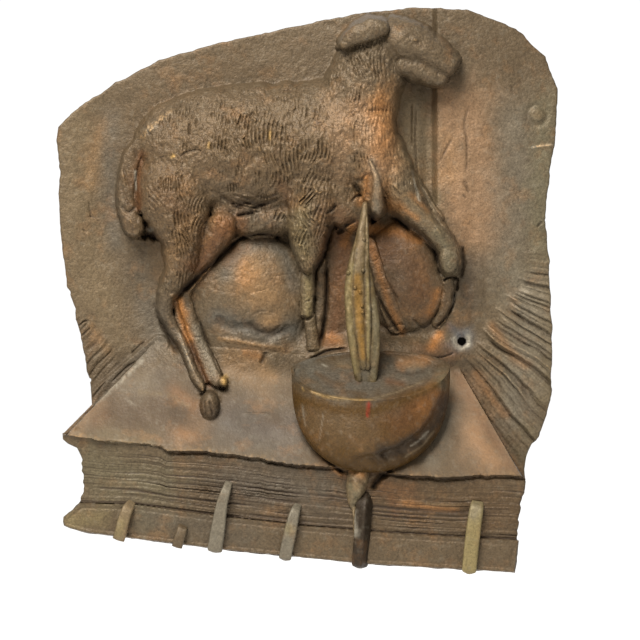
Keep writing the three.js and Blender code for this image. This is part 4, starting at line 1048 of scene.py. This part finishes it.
patina = {
    "relief_face": ("umber", [
        # left of the plate
        ("tan", 0.6, 20, [(-158, 120), (-160, 60), (-150, 5)]),
        ("ochre", 0.45, 6, [(-142, 124), (-149, 104), (-152, 82)]),
        ("slate", 0.5, 8, [(-138, 128), (-139, 100), (-138, 70), (-134, 40)]),
        ("slate", 0.45, 12, [(-118, 24), (-114, 0), (-104, -26)]),
        ("tan", 0.4, 12, [(-141, 0), (-134, -26)]), ("umber", 0.6, 6, [(-168, 0), (-156, -40)]),
        ("ochre", 0.3, 3, [(-152, -20), (-140, -36)]), ("slate", 0.35, 5, [(-148, -66), (-115, -37)]),
        # haunch and tail; the first wash is a painted highlight along the haunch's top edge
        ("boneAndHighlight", 0.4, 3, [(-112, 119), (-98, 131)]), ("brown", 0.8, 34, [(-96, 90), (-92, 40)]),
        ("walnut", 0.28, 22, [(-102, 108), (-94, 60), (-94, 34)]),
        ("walnut", 0.25, 16, [(-62, 80), (-28, 70)]),
        ("walnut", 0.5, 6, [(-122, 102), (-127, 80), (-123, 52)]),
        ("rust", 0.95, 3.0, [(-116.5, 102), (-119.5, 84), (-118.5, 64)]),
        ("rust", 0.3, 8, [(-98, 72), (-84, 56)]),
        ("ochre", 0.35, 7, [(-78, 58), (-88, 44), (-96, 30)]), ("slate", 0.3, 14, [(-62, 90), (-46, 76)]),
        # body and breast
        ("brown", 0.8, 44, [(-60, 105), (10, 100)]), ("slate", 0.3, 7, [(-46, 60), (-24, 58)]),
        ("rust", 0.4, 5, [(-18, 79), (-12, 66)]), ("rose", 0.35, 8, [(18, 134), (23, 108), (23, 90)]),
        ("ochre", 0.6, 12, [(50, 138), (52, 112), (48, 92)]),
        ("orange", 0.5, 8, [(52, 138), (55, 112), (52, 96)]),
        ("rose", 0.7, 13, [(38, 134), (46, 112), (52, 96)]), ("orange", 0.35, 8, [(50, 136), (54, 108)]),
        ("orange", 0.6, 5, [(56, 80), (58, 66)]), ("orange", 0.6, 3.0, [(41, 86), (41, 76), (37, 68)]),
        ("brown", 0.6, 10, [(16, 78), (28, 64), (34, 54)]), ("rust", 0.4, 5, [(22, 60), (32, 52)]),
        ("ash", 0.7, 2.4, [(44, 97), (48.5, 86), (48, 70), (47.5, 60)]),
        # near foreleg
        ("straw", 0.3, 8, [(-4, 62), (-4, 34)]), ("rust", 0.6, 2.8, [(13, 44), (9, 29)]),
        ("straw", 0.55, 3.6, [(0, 14), (0, -10)]),
        ("olive", 0.4, 4, [(3, -16), (6, -34)]), ("rust", 0.3, 9, [(10, 60), (12, 44)]),
        ("rust", 0.75, 8, [(24, 44), (22, 20), (21, -8), (16, -28)]),
        ("orange", 0.5, 3, [(31, 51), (25, 40)]), ("orange", 0.35, 4, [(16, -26), (22, -29)]),
        # ground between the legs
        ("ochre", 0.6, 14, [(-40, 22), (-36, 8), (-28, 4)]), ("orange", 0.25, 7, [(-46, 26), (-44, 14)]),
        ("slate", 0.55, 5, [(-58, 18), (-48, 34), (-30, 41), (-15, 32), (-10, 10)]),
        ("slate", 0.75, 7, [(-64, -12), (-46, -19), (-28, -24), (-10, -20)]),
        ("ochre", 0.6, 5, [(-29, -15.5), (-24, -15)]),
        ("ochre", 0.5, 2, [(-62, -27), (-44, -30), (-30, -33), (-18, -34)]),
        ("ochre", 0.6, 8, [(-54, -42), (-38, -46), (-28, -54)]),
        ("orange", 0.4, 2.6, [(-44, -37), (-34, -40)]),
        # hind legs; the pale line down the near leg is a painted highlight
        ("mauve", 0.25, 5, [(-102, -2), (-95, -20), (-84, -42)]),
        ("boneAndHighlight", 0.5, 1.2, [(-90, -24), (-85, -38), (-81, -48)]),
        ("orange", 0.8, 3.0, [(-90.5, 0), (-88, -14), (-83, -28)]),
        ("rust", 0.95, 2.4, [(-81, -32), (-75, -47), (-69, -60)]),
        ("ash", 0.6, 3.4, [(-78, -20), (-72, -35), (-64, -53)]),
        ("olive", 0.5, 7, [(-70, -70), (-68, -82)]), ("gold", 1.0, 2.2, [(-58.8, -54.6), (-58.4, -58)]),
        ("orange", 0.4, 6, [(-63, 55), (-56, 49)]), ("rust", 0.8, 9, [(-56, 52), (-66, 40), (-78, 24)]),
        ("walnut", 0.5, 5, [(-72, 52), (-80, 30)]),
        # mound and raised leg; the thin pale line along the leg's upper rim is a painted highlight
        ("rust", 0.85, 16, [(56, 36), (70, 24), (76, 6)]), ("orange", 0.8, 4, [(45, 49), (62, 49), (78, 41)]),
        ("orange", 0.55, 3.6, [(91, 6), (85, -9)]), ("walnut", 0.6, 4, [(98.5, 10), (96, -7), (90, -18)]),
        ("slate", 0.3, 7, [(63, 26), (67, 10)]),
        ("orange", 0.5, 2.8, [(45, 36), (51, 16), (57, -4), (66, -22)]),
        ("walnut", 0.5, 18, [(66, 30), (70, 5)]), ("tan", 0.75, 8, [(60, 78), (88, 52)]),
        ("moss", 0.6, 7, [(90, 46), (99, 34), (99, 20)]), ("orange", 0.4, 2.6, [(64, 66), (76, 57)]),
        ("walnut", 0.35, 3.0, [(70, 55), (88, 41)]), ("orange", 0.35, 2, [(72, 74), (84, 62)]),
        ("boneAndHighlight", 0.4, 0.7, [(80, 78), (92, 56)]), ("tan", 0.85, 9, [(68, 138), (70, 106), (76, 86)]),
        ("ash", 0.3, 6, [(80, 136), (82, 100)]),
        # right of the plate
        ("tan", 0.7, 7, [(84, 138), (84, 100), (90, 64)]),
        ("rose", 0.8, 9, [(97, 136), (100, 100), (105, 66), (112, 46)]),
        ("rose", 0.75, 16, [(114, 136), (120, 90), (124, 46)]), ("ochre", 0.3, 6, [(98, 112), (100, 84)]),
        ("ash", 0.6, 16, [(144, 124), (147, 70), (140, 26)]),
        ("moss", 0.65, 9, [(166, 136), (163, 84), (162, 40)]),
        ("tan", 0.8, 3.6, [(160, 129.5), (161, 129.5)]), ("mauve", 0.6, 8, [(112, 26), (112, 0)]),
        # right rays, and the hole, whose bluish grey wash and dark floor are painted shade
        ("moss", 0.5, 18, [(164, 18), (164, -30), (156, -72), (150, -104)]),
        ("tan", 0.75, 16, [(160, 10), (158, -40), (150, -80)]),
        ("ash", 0.6, 12, [(150, -14), (140, -50), (140, -80)]),
        ("ash", 0.6, 16, [(150, 8), (146, -34), (140, -72)]),
        ("boneAndHighlight", 0.13, 16, [(158, 4), (154, -40), (146, -78)]),
        ("tan", 0.4, 14, [(138, -14), (134, -44), (130, -70)]),
        ("orange", 0.25, 3.2, [(129, -18), (140, -34), (152, -46)]),
        ("orange", 0.35, 3.4, [(118, -52), (128, -68), (138, -80)]),
        ("steel", 0.9, 7.0, [(107.5, -29)] * 2),
        ("boneAndHighlight", 0.9, 2.0, [(102.6, -27), (104, -32), (108, -34.4), (112.4, -31), (112, -26)]),
        ("orange", 0.8, 3.2, [(87, -32), (92, -24)]), ("rust", 0.4, 8, [(76, -36), (98, -38)]),
        # bright rubs and scratches, and painted glints
        ("gold", 0.6, 0.9, [(-95.4, 100), (-94, 101)]), ("gold", 0.4, 0.7, [(-69.5, 107), (-69.3, 110)]),
        ("gold", 0.45, 0.7, [(-27, 113), (-26.6, 118)]),
        ("boneAndHighlight", 0.9, 0.7, [(-120.6, 90), (-120.8, 84), (-120.4, 77)]),
        ("boneAndHighlight", 1.0, 1.2, [(-110.4, 49), (-109.8, 49)]),
        ("boneAndHighlight", 0.8, 0.7, [(72.9, 90), (75, 80), (78, 70)]),
        ("boneAndHighlight", 0.8, 0.8, [(103, 4), (101.2, -7)]), ("boneAndHighlight", 0.9, 0.7, [(157, 107), (171, 109)]),
        # cover; the pale line along the ledge's edge is a painted highlight, and the dark line under the
        # front edge and the dark patch under the cup are painted shadow
        ("mauve", 0.7, 22, [(-126, -80), (-60, -84), (0, -92)]),
        ("ash", 0.55, 12, [(-58, -96), (-30, -100), (-8, -96)]),
        ("rose", 0.5, 6, [(-148, -72), (-164, -90)]),
        ("boneAndHighlight", 0.7, 1.0, [(-150, -73), (-128, -54), (-116, -42)]),
        ("slate", 0.5, 12, [(-40, -64), (-18, -74)]),
        ("steel", 0.3, 11, [(-54, -86), (-30, -93), (-10, -90)]),
        ("mauve", 0.5, 4, [(-52, -83), (-42, -90)]), ("walnut", 0.4, 3.5, [(-26, -82), (-14, -91)]),
        ("slate", 0.55, 3.5, [(-38, -97), (-24, -103)]), ("walnut", 0.4, 2.5, [(-60, -92), (-48, -100)]),
        ("rose", 0.5, 7, [(-90, -97), (-74, -88)]),
        ("walnut", 0.5, 26, [(-140, -80), (-20, -90), (120, -100)]),
        ("ash", 0.3, 8, [(-124, -62), (-108, -56)]), ("mauve", 0.3, 10, [(-102, -52), (-92, -66)]),
        ("orange", 0.18, 5, [(-92, -64), (-80, -74)]),
        ("tan", 0.4, 1.2, [(-118, -64), (-98, -66), (-84, -74)]),
        ("rust", 0.4, 4, [(-142, -82), (-148, -86)]), ("boneAndHighlight", 0.35, 0.7, [(-127, -69), (-122, -74)]),
        ("orange", 0.18, 4, [(-90, -92), (-82, -96)]), ("slate", 0.25, 10, [(-60, -88), (-44, -84)]),
        ("brown", 0.4, 13, [(-56, -46), (-36, -58), (-16, -66)]),
        ("ochre", 0.2, 6, [(-46, -54), (-30, -66)]), ("tan", 0.4, 6, [(-140, -95), (-110, -98)]),
        ("orange", 0.5, 3.4, [(8, -103), (14, -111)]),
        ("sootAndShade", 0.3, 1.8, [(-98, -106.5), (0, -118), (60, -124), (150, -125.5)]),
        ("sootAndShade", 0.8, 4.5, [(40, -117), (64, -119)]), ("orange", 0.7, 1.8, [(48, -116), (58, -117)]),
        ("orange", 0.6, 1.8, [(18, -118), (24, -123)]), ("boneAndHighlight", 0.7, 0.7, [(12, -110), (15, -113)]),
        ("orange", 0.6, 2, [(40, -120), (48, -118.5)]),
        ("rose", 0.5, 12, [(111, -66), (116, -98), (132, -116)]),
        ("rust", 0.4, 4, [(104, -50), (124, -88), (146, -120)]),
        ("orange", 0.12, 6, [(116, -92), (132, -114)]),
        ("ash", 0.55, 8, [(99, -78), (86, -112)]),
        # pages and board
        ("walnut", 0.6, 20, [(-150, -122), (0, -136), (140, -146)]),
        ("moss", 0.6, 22, [(-150, -120), (-110, -130)]),
        ("slate", 0.4, 16, [(-50, -128), (10, -134)]), ("brown", 0.6, 14, [(60, -138), (140, -146)]),
        ("walnut", 0.35, 14, [(60, -136), (140, -144)]),
        ("rust", 0.4, 6, [(52, -130), (70, -134)]),
        ("orange", 0.35, 2.2, [(66, -142), (82, -145), (104, -147)]),
        ("sootAndShade", 0.6, 1.3, [(72, -147), (90, -149.5), (108, -151)]),
        ("sootAndShade", 0.5, 1.0, [(78, -138), (100, -140.5)]),
        ("rust", 0.5, 3, [(58, -138), (62, -152)]), ("tan", 0.4, 1.6, [(84, -142.5), (106, -144)]),
        ("straw", 0.5, 6, [(-166, -154), (-142, -154)]), ("slate", 0.3, 8, [(-112, -152), (-40, -166)]),
    ]),
    "cup": ("syrup", [
        ("rust", 0.55, 16, [(66, -84), (86, -70)]), ("orange", 0.25, 8, [(80, -74), (88, -66)]),
        ("sootAndShade", 0.85, 1.5, [(-8, -52), (-4, -45), (8, -40), (28, -36.6)]),
        ("sootAndShade", 0.8, 4.0, [(53, -34), (57, -43)]), ("sootAndShade", 0.5, 1.2, [(58, -36.5), (80, -41), (90, -48)]),
        ("brown", 0.5, 14, [(10, -84), (40, -96)]),
        ("dusk", 0.95, 15, [(4, -50), (30, -54), (60, -52), (84, -45)]),
        ("slate", 0.5, 8, [(18, -58), (44, -60)]), ("sootAndShade", 0.6, 3.0, [(36, -54), (47, -54)]),
        ("walnut", 0.6, 6, [(86, -44), (94, -50)]), ("walnut", 0.3, 10, [(16, -50), (58, -54)]),
        ("walnut", 0.7, 2.5, [(28, -36), (58, -36.5), (80, -40), (96, -47)]),
        ("rust", 0.5, 2.5, [(34, -54), (36, -56)]),
        ("walnut", 0.65, 2.2, [(6, -51), (14, -57), (24, -59)]), ("boneAndHighlight", 0.6, 0.8, [(10, -45), (13, -46.5)]),
        ("tan", 0.45, 2.6, [(20, -45), (30, -46)]), ("sootAndShade", 0.55, 1.3, [(62, -50), (72, -52), (82, -50)]),
        ("rust", 0.5, 2.4, [(56, -57), (66, -59)]), ("boneAndHighlight", 0.45, 0.7, [(64, -42), (66, -42.6)]),
        ("tan", 0.4, 2.2, [(70, -46), (78, -46)]), ("walnut", 0.6, 1.6, [(26, -64), (40, -66)]),
        ("orange", 0.3, 4, [(66, -44), (82, -42)]),
        ("syrup", 1.0, 3.0, [(-6, -70), (20, -77), (44, -78), (62, -72), (80, -64), (96, -56)]),
        # painted shade on the bowl's lower right side, turned away from the light
        ("sootAndShade", 0.8, 5.5, [(97, -70), (90, -87), (79, -100), (66, -106), (52, -109)]),
        ("sootAndShade", 0.8, 3.5, [(50, -105), (62, -103), (72, -96)]),
        ("tan", 0.6, 0.8, [(88, -92), (80, -102), (68, -110)]),
        ("boneAndHighlight", 0.5, 0.6, [(84, -92), (77, -99), (72, -102)]), ("boneAndHighlight", 0.3, 0.5, [(11, -78), (8, -98)]),
        ("boneAndHighlight", 0.25, 0.5, [(-4, -74), (-2, -88)]),
        ("moss", 0.5, 4, [(94, -52), (95, -60)]), ("red", 0.9, 0.8, [(42.6, -72), (41.6, -81)]),
        ("gold", 0.32, 0.6, [(-4, -62), (12, -67.4), (36.7, -70.3), (46, -69.4)]),
        ("tan", 0.5, 0.7, [(46, -69), (64, -64), (80, -57)]),
    ]),
    "stream": ("olive", [
        ("tan", 0.8, 3.4, [(39, 66), (37, 40), (35, 22)]),
        ("straw", 0.6, 2.4, [(31, 24), (28.6, 6), (29.6, -18), (33, -50)]),
        ("honey", 0.9, 2.8, [(34.5, 16), (36, -14), (38.5, -40)]),
        ("straw", 0.8, 1.0, [(41.6, 14), (42.3, -12), (42, -40)]),
        ("moss", 0.6, 2.6, [(46, 0), (47.4, -24), (46.4, -54)]),
        # painted shade in the grooves between the strands
        ("sootAndShade", 0.55, 0.7, [(34.4, 36), (32, 20), (31.4, 4), (32.4, -16), (35, -36), (38, -52)]),
        ("sootAndShade", 0.55, 0.7, [(40.2, 34), (39.4, 14), (39.5, -6), (40, -26), (40.6, -46)]),
        ("sootAndShade", 0.55, 0.7, [(43.2, 16), (43.8, 2), (44.1, -18), (43.8, -36), (43.4, -52)]),
        ("slate", 0.6, 4, [(40, -51), (40, -57)]),
    ]),
    "drip": ("tan", [("orange", 0.5, 3.0, [(31, -120), (38, -122)]),
                     ("moss", 0.6, 4, [(30, -130), (34, -140)]),
                     ("sootAndShade", 0.5, 1.0, [(29, -127), (34, -125), (39, -129)])]),
    "ribbon_1": ("tan", [("straw", 0.6, 4, [(-131, -156), (-133, -164)])]),
    "ribbon_2": ("umber", []),
    "ribbon_3": ("ash", []),
    "ribbon_4": ("ash", [("straw", 0.5, 3, [(-14, -160)] * 2)]),
    # this ribbon faces away from the light: painted shade over it, with a painted highlight along its lit
    # left edge
    "ribbon_5": ("sootAndShade", [("boneAndHighlight", 0.8, 1.2, [(32.4, -148), (33, -164)])]),
    "ribbon_6": ("straw", [("ash", 0.6, 6, [(118, -144), (116, -150)])]),
}
daylight = 0.25      # share of a tone's daylight brightness that is its own colour


# A colour as it is displayed, turned to linear light by the usual 2.4 power with a straight foot.
def fromDisplay(rgb):
    value = np.asarray(rgb, float)
    return np.where(value <= 0.04045, value / 12.92, ((value + 0.055) / 1.055) ** 2.4)


# Colour at u, w: the base tone, then each wash mixed in by its strength times a ragged Gaussian of the
# distance to its path.
def patinaAt(u, w, name):
    base, washes = patina[name]
    colour = np.tile(fromDisplay(tones[base]), (len(u), 1))
    ragged = 0.35 * softNoise(u, w, 9.0, 131) + 0.25 * softNoise(u, w, 3.5, 132)
    for tone, strength, half, path in washes:
        gap, _ = nearestOnPath(u, w, np.asarray(path, float))
        share = strength * np.exp(-(gap / half * (1.0 + ragged)) ** 2)
        colour = colour + (fromDisplay(tones[tone]) - colour) * share[:, None]
    return colour * daylight


# Bilinear reading of a map at u, w.
def readMap(maps, field, u, w):
    a = np.clip((u - maps["columns"][0]) / maps["step"], 0, field.shape[1] - 1.001)
    b = np.clip((w - maps["rows"][0]) / maps["step"], 0, field.shape[0] - 1.001)
    i, j = a.astype(int), b.astype(int)
    fa, fb = a - i, b - j
    low = field[j, i] * (1.0 - fa) + field[j, i + 1] * fa
    high = field[j + 1, i] * (1.0 - fa) + field[j + 1, i + 1] * fa
    return low * (1.0 - fb) + high * fb


# Values for every vertex, written as one named attribute.
def setAttribute(piece, name, kind, values):
    attribute = piece.data.attributes.new(name, kind, "POINT")
    key = "color" if kind == "FLOAT_COLOR" else "value"
    attribute.data.foreach_set(key, np.ascontiguousarray(values, dtype=np.float32).ravel())


# How fast the unit normal spreads over the relief blurred by a radius: an edge counts by its turn, not by
# its height. Hollows are positive.
def spreadOf(depth, step, radius):
    slopeW, slopeU = np.gradient(blurred(depth, radius / step), step)
    steep = np.sqrt(1.0 + slopeU ** 2 + slopeW ** 2)
    return np.gradient(slopeU / steep, step, axis=1) + np.gradient(slopeW / steep, step, axis=0)


# Age and painted light: crust gathers by the fine and broad spread of hollows and in dark cuts, wear on high
# edges.
# The dark cuts bring painted shade into the crust, and a negative darkness brings a painted highlight into
# the wear.
def ageAndPaintedLightMaps(maps):
    fine = spreadOf(maps["depth"], maps["step"], 0.5)
    broad = spreadOf(maps["depth"], maps["step"], 2.2)
    maps["hollowAndShade"] = np.clip(0.15 * fine + 0.26 * broad - 0.03 + np.maximum(maps["dark"], 0.0), 0.0, 1.0)
    maps["wearAndHighlight"] = np.clip(-0.18 * fine - 0.2 * broad - 0.14 - np.minimum(maps["dark"], 0.0), 0.0, 1.0)


# Paint: vertices go back to u, w and depth, where the patina and the maps are read; the back stays plain.
def paint(piece, maps=None):
    count = len(piece.data.vertices)
    flat = np.empty(count * 3, np.float32)
    piece.data.vertices.foreach_get("co", flat)
    u, w, depth = outOfFrame(flat.reshape(-1, 3).astype(float))
    onBack = depth < 0.05
    colour = np.ones((count, 4))
    colour[:, :3] = patinaAt(u, w, piece.name)
    colour[onBack, :3] = fromDisplay(tones["umber"]) * daylight
    setAttribute(piece, "patina", "FLOAT_COLOR", colour)
    for name, plain in (("hollowAndShade", 0.0), ("wearAndHighlight", 0.0), ("coarse", 0.2), ("leaf", 0.0)):
        values = np.full(count, plain) if maps is None else readMap(maps, maps[name], u, w)
        setAttribute(piece, name, "FLOAT", np.where(onBack, plain, values))


# Materials

# A socket with arithmetic: each operator adds one Math node to the tree.
class Value:
    def __init__(self, finish, socket):
        self.finish = finish
        self.socket = socket

    def maths(self, operation, *others):
        return self.finish.maths(operation, self, *others)

    def __add__(self, other):
        return self.maths("ADD", other)

    def __radd__(self, other):
        return self.finish.maths("ADD", other, self)

    def __sub__(self, other):
        return self.maths("SUBTRACT", other)

    def __rsub__(self, other):
        return self.finish.maths("SUBTRACT", other, self)

    def __mul__(self, other):
        return self.maths("MULTIPLY", other)

    def __rmul__(self, other):
        return self.finish.maths("MULTIPLY", other, self)

    def clamped(self):
        return self.finish.node("ShaderNodeClamp", {}, {"Value": self})["Result"]


# A material's node tree, with short ways to add its nodes.
class Finish:
    def __init__(self, name):
        self.material = bpy.data.materials.new(name)
        self.material.use_nodes = True
        self.tree = self.material.node_tree
        self.tree.nodes.clear()

    def fill(self, socket, value):
        if isinstance(value, Value):
            self.tree.links.new(value.socket, socket)
        else:
            socket.default_value = value

    # any node: its type, its settings, then values or links for its sockets by name or number
    def node(self, kind, settings, inputs):
        made = self.tree.nodes.new(kind)
        for key, value in settings.items():
            setattr(made, key, value)
        for key, value in inputs.items():
            self.fill(made.inputs[key], value)
        return {socket.name: Value(self, socket) for socket in reversed(made.outputs) if socket.enabled}

    def maths(self, operation, *values):
        return self.node("ShaderNodeMath", {"operation": operation}, dict(enumerate(values)))["Value"]

    def attribute(self, name, output="Fac"):
        return self.node("ShaderNodeAttribute", {"attribute_name": name}, {})[output]

    def noise(self, place, scale, detail=4.0, rough=0.55):
        inputs = {"Vector": place, "Scale": scale, "Detail": detail, "Roughness": rough}
        return self.node("ShaderNodeTexNoise", {}, inputs)["Fac"]

    def mixed(self, share, a, b, blend="MIX"):
        settings = {"data_type": "RGBA", "blend_type": blend}
        return self.node("ShaderNodeMix", settings, {0: share, 6: a, 7: b})["Result"]

    def grey(self, value):
        return self.node("ShaderNodeCombineColor", {}, {0: value, 1: value, 2: value})["Color"]


# A displayed colour as a socket's four numbers.
def rgba(rgb):
    return (*[float(v) for v in fromDisplay(rgb)], 1.0)


bronze = {
    "crustAndShade": (0.115, 0.08, 0.045), "bare": (0.80, 0.62, 0.38), "ochre": (0.40, 0.28, 0.16),
    "dust": (0.28, 0.265, 0.23), "metal": 0.3, "rough": 0.52, "shine": 0.12, "bump": 1.0,
}


# Patinated bronze: painted tones, mottled by noise, darkened in hollows by crust and painted shade, and
# rubbed to metal on high edges, with painted highlights among the rubs.
def patinatedBronze():
    finish = Finish("patinated_bronze")
    place = finish.node("ShaderNodeTexCoord", {}, {})["Object"]
    patinaTone = finish.attribute("patina", "Color")
    hollowAndShade = finish.attribute("hollowAndShade")
    wearAndHighlight = finish.attribute("wearAndHighlight")
    coarse = finish.attribute("coarse")
    cloud = finish.noise(place, 60.0, 4.0, 0.6)
    blotch = finish.noise(place, 230.0, 1.0, 0.6)
    speck = finish.noise(place, 600.0, 0.0)
    grain = finish.noise(place, 1150.0, 0.0)
    tone = finish.mixed(((cloud - 0.54) * 3.0).clamped() * 0.4, patinaTone, rgba(bronze["ochre"]))
    tone = finish.mixed(((blotch - 0.56) * 3.0).clamped() * 0.3, tone, rgba(bronze["dust"]))
    mottle = 1.1 * (grain - 0.5) + 1.0 * (speck - 0.5) + 0.7 * (blotch - 0.5)
    shade = (0.98 + mottle * (0.28 + 0.7 * coarse)).maths("MAXIMUM", 0.2)
    tone = finish.mixed(1.0, tone, finish.grey(shade), "MULTIPLY")
    vein = finish.noise(place, 150.0, 1.0, 0.6)
    crack = (1.0 - 18.0 * (vein - 0.5).maths("ABSOLUTE")).clamped() * ((cloud - 0.47) * 5.0).clamped()
    leaf = finish.attribute("leaf")
    along = finish.node("ShaderNodeSeparateXYZ", {}, {0: place})["X"]
    sheet = finish.node("ShaderNodeCombineXYZ", {}, {"X": along * 14.0, "Y": leaf * 44.0})["Vector"]
    gaps = ((finish.noise(sheet, 1.0, 1.5, 0.7) - 0.54) * 9.0).clamped() * (leaf * 12.0 - 1.0).clamped()
    # Crust and painted shade from the hollow map, with cracks and gaps between the leaves, mix in the dark
    # crust colour.
    dark = (hollowAndShade * (1.25 - 0.5 * speck) + 0.55 * crack * (0.35 + coarse) + 0.65 * gaps).clamped()
    tone = finish.mixed(dark, tone, rgba(bronze["crustAndShade"]))
    # Wear and painted highlights mix in the bare metal colour.
    rubbedAndHighlight = (wearAndHighlight * (speck * 1.8 - 0.4)).clamped()
    tone = finish.mixed(rubbedAndHighlight * 0.55, tone, rgba(bronze["bare"]))
    relief = (grain + speck * 1.4 + blotch * 2.0) * (0.02 + 0.4 * coarse)
    bump = finish.node("ShaderNodeBump", {}, {"Strength": bronze["bump"], "Distance": 0.0011,
                                          "Height": relief})["Normal"]
    rough = (bronze["rough"] + 0.25 * (speck - 0.45) + 0.25 * hollowAndShade - 0.15 * rubbedAndHighlight).clamped()
    metal = (bronze["metal"] + 0.4 * rubbedAndHighlight - 0.4 * hollowAndShade).clamped()
    shader = finish.node("ShaderNodeBsdfPrincipled", {}, {
        "Base Color": tone, "Roughness": rough, "Metallic": metal, "Normal": bump,
        "Specular IOR Level": bronze["shine"]})["BSDF"]
    finish.node("ShaderNodeOutputMaterial", {}, {"Surface": shader})
    return finish.material


floorLook = {"colour": (0.985, 0.985, 0.985), "rough": 0.9, "below": 0.42, "half": 40.0}


# Floor: one wide square well below the casting.
def paleFloor():
    finish = Finish("pale_floor")
    shader = finish.node("ShaderNodeBsdfPrincipled", {}, {
        "Base Color": rgba(floorLook["colour"]), "Roughness": floorLook["rough"]})["BSDF"]
    finish.node("ShaderNodeOutputMaterial", {}, {"Surface": shader})
    half = floorLook["half"]
    level = cadBox[0].z - floorLook["below"]
    corners = [(-half, -half, level), (half, -half, level), (half, half, level), (-half, half, level)]
    floor = newPiece("floor", corners, [(0, 1, 2, 3)])
    floor.data.materials.append(finish.material)


# Studio

studio = {
    "world": 1.06,
    "lamps": [
        {"name": "key", "at": (-0.6, -1.45, 1.6), "power": 230.0, "size": 1.2, "colour": (1.0, 0.97, 0.92)},
    ],
}


# Light: an even white world, and each lamp a soft square aimed at the origin.
def studioLight():
    world = bpy.data.worlds.new("studio")
    bpy.context.scene.world = world
    world.use_nodes = True
    world.node_tree.nodes["Background"].inputs["Color"].default_value = (1.0, 1.0, 1.0, 1.0)
    world.node_tree.nodes["Background"].inputs["Strength"].default_value = studio["world"]
    for lamp in studio["lamps"]:
        data = bpy.data.lights.new(lamp["name"], "AREA")
        data.energy, data.size, data.color = lamp["power"], lamp["size"], lamp["colour"]
        light = bpy.data.objects.new(lamp["name"], data)
        bpy.context.scene.collection.objects.link(light)
        light.location = lamp["at"]
        light.rotation_euler = (-light.location).to_track_quat("-Z", "Y").to_euler()


# Camera: level at the eye, with the lens that makes half the frame cover its width at the plate.
def camera():
    data = bpy.data.cameras.new("camera")
    halfFrame = 320.0 * eye["millimetresPerPixel"]
    data.sensor_width = 36.0
    data.lens = 18.0 * (eye["distance"] - eye["plateDepth"]) / halfFrame
    data.clip_start, data.clip_end = 0.05, 50.0
    seat = bpy.data.objects.new("camera", data)
    bpy.context.scene.collection.objects.link(seat)
    seat.location = (eye["u"] * millimetre, -eye["distance"] * millimetre, eye["w"] * millimetre)
    seat.rotation_euler = (math.pi / 2, 0.0, 0.0)
    bpy.context.scene.camera = seat
    bpy.context.scene.view_settings.view_transform = "Standard"


# Putting it together

camera()
metal = patinatedBronze()
face, maps = reliefFace()
ageAndPaintedLightMaps(maps)
paint(face, maps)
made = [face, bowlPiece(), streamPiece(), dripPiece()]
made += [ribbonPiece(k, name, path) for k, (name, path) in enumerate(ribbons.items())]
for piece in made[1:]:
    paint(piece)
for piece in made:
    piece.data.materials.clear()
    piece.data.materials.append(metal)
    piece.data.polygons.foreach_set("use_smooth", np.ones(len(piece.data.polygons), bool))
    piece.data.set_sharp_from_angle(angle=math.radians(50.0))
    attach(piece, "root")
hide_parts("relief_plaque")
print("pieces", len(made), "triangles", sum(len(p.data.polygons) for p in made))
paleFloor()
studioLight()
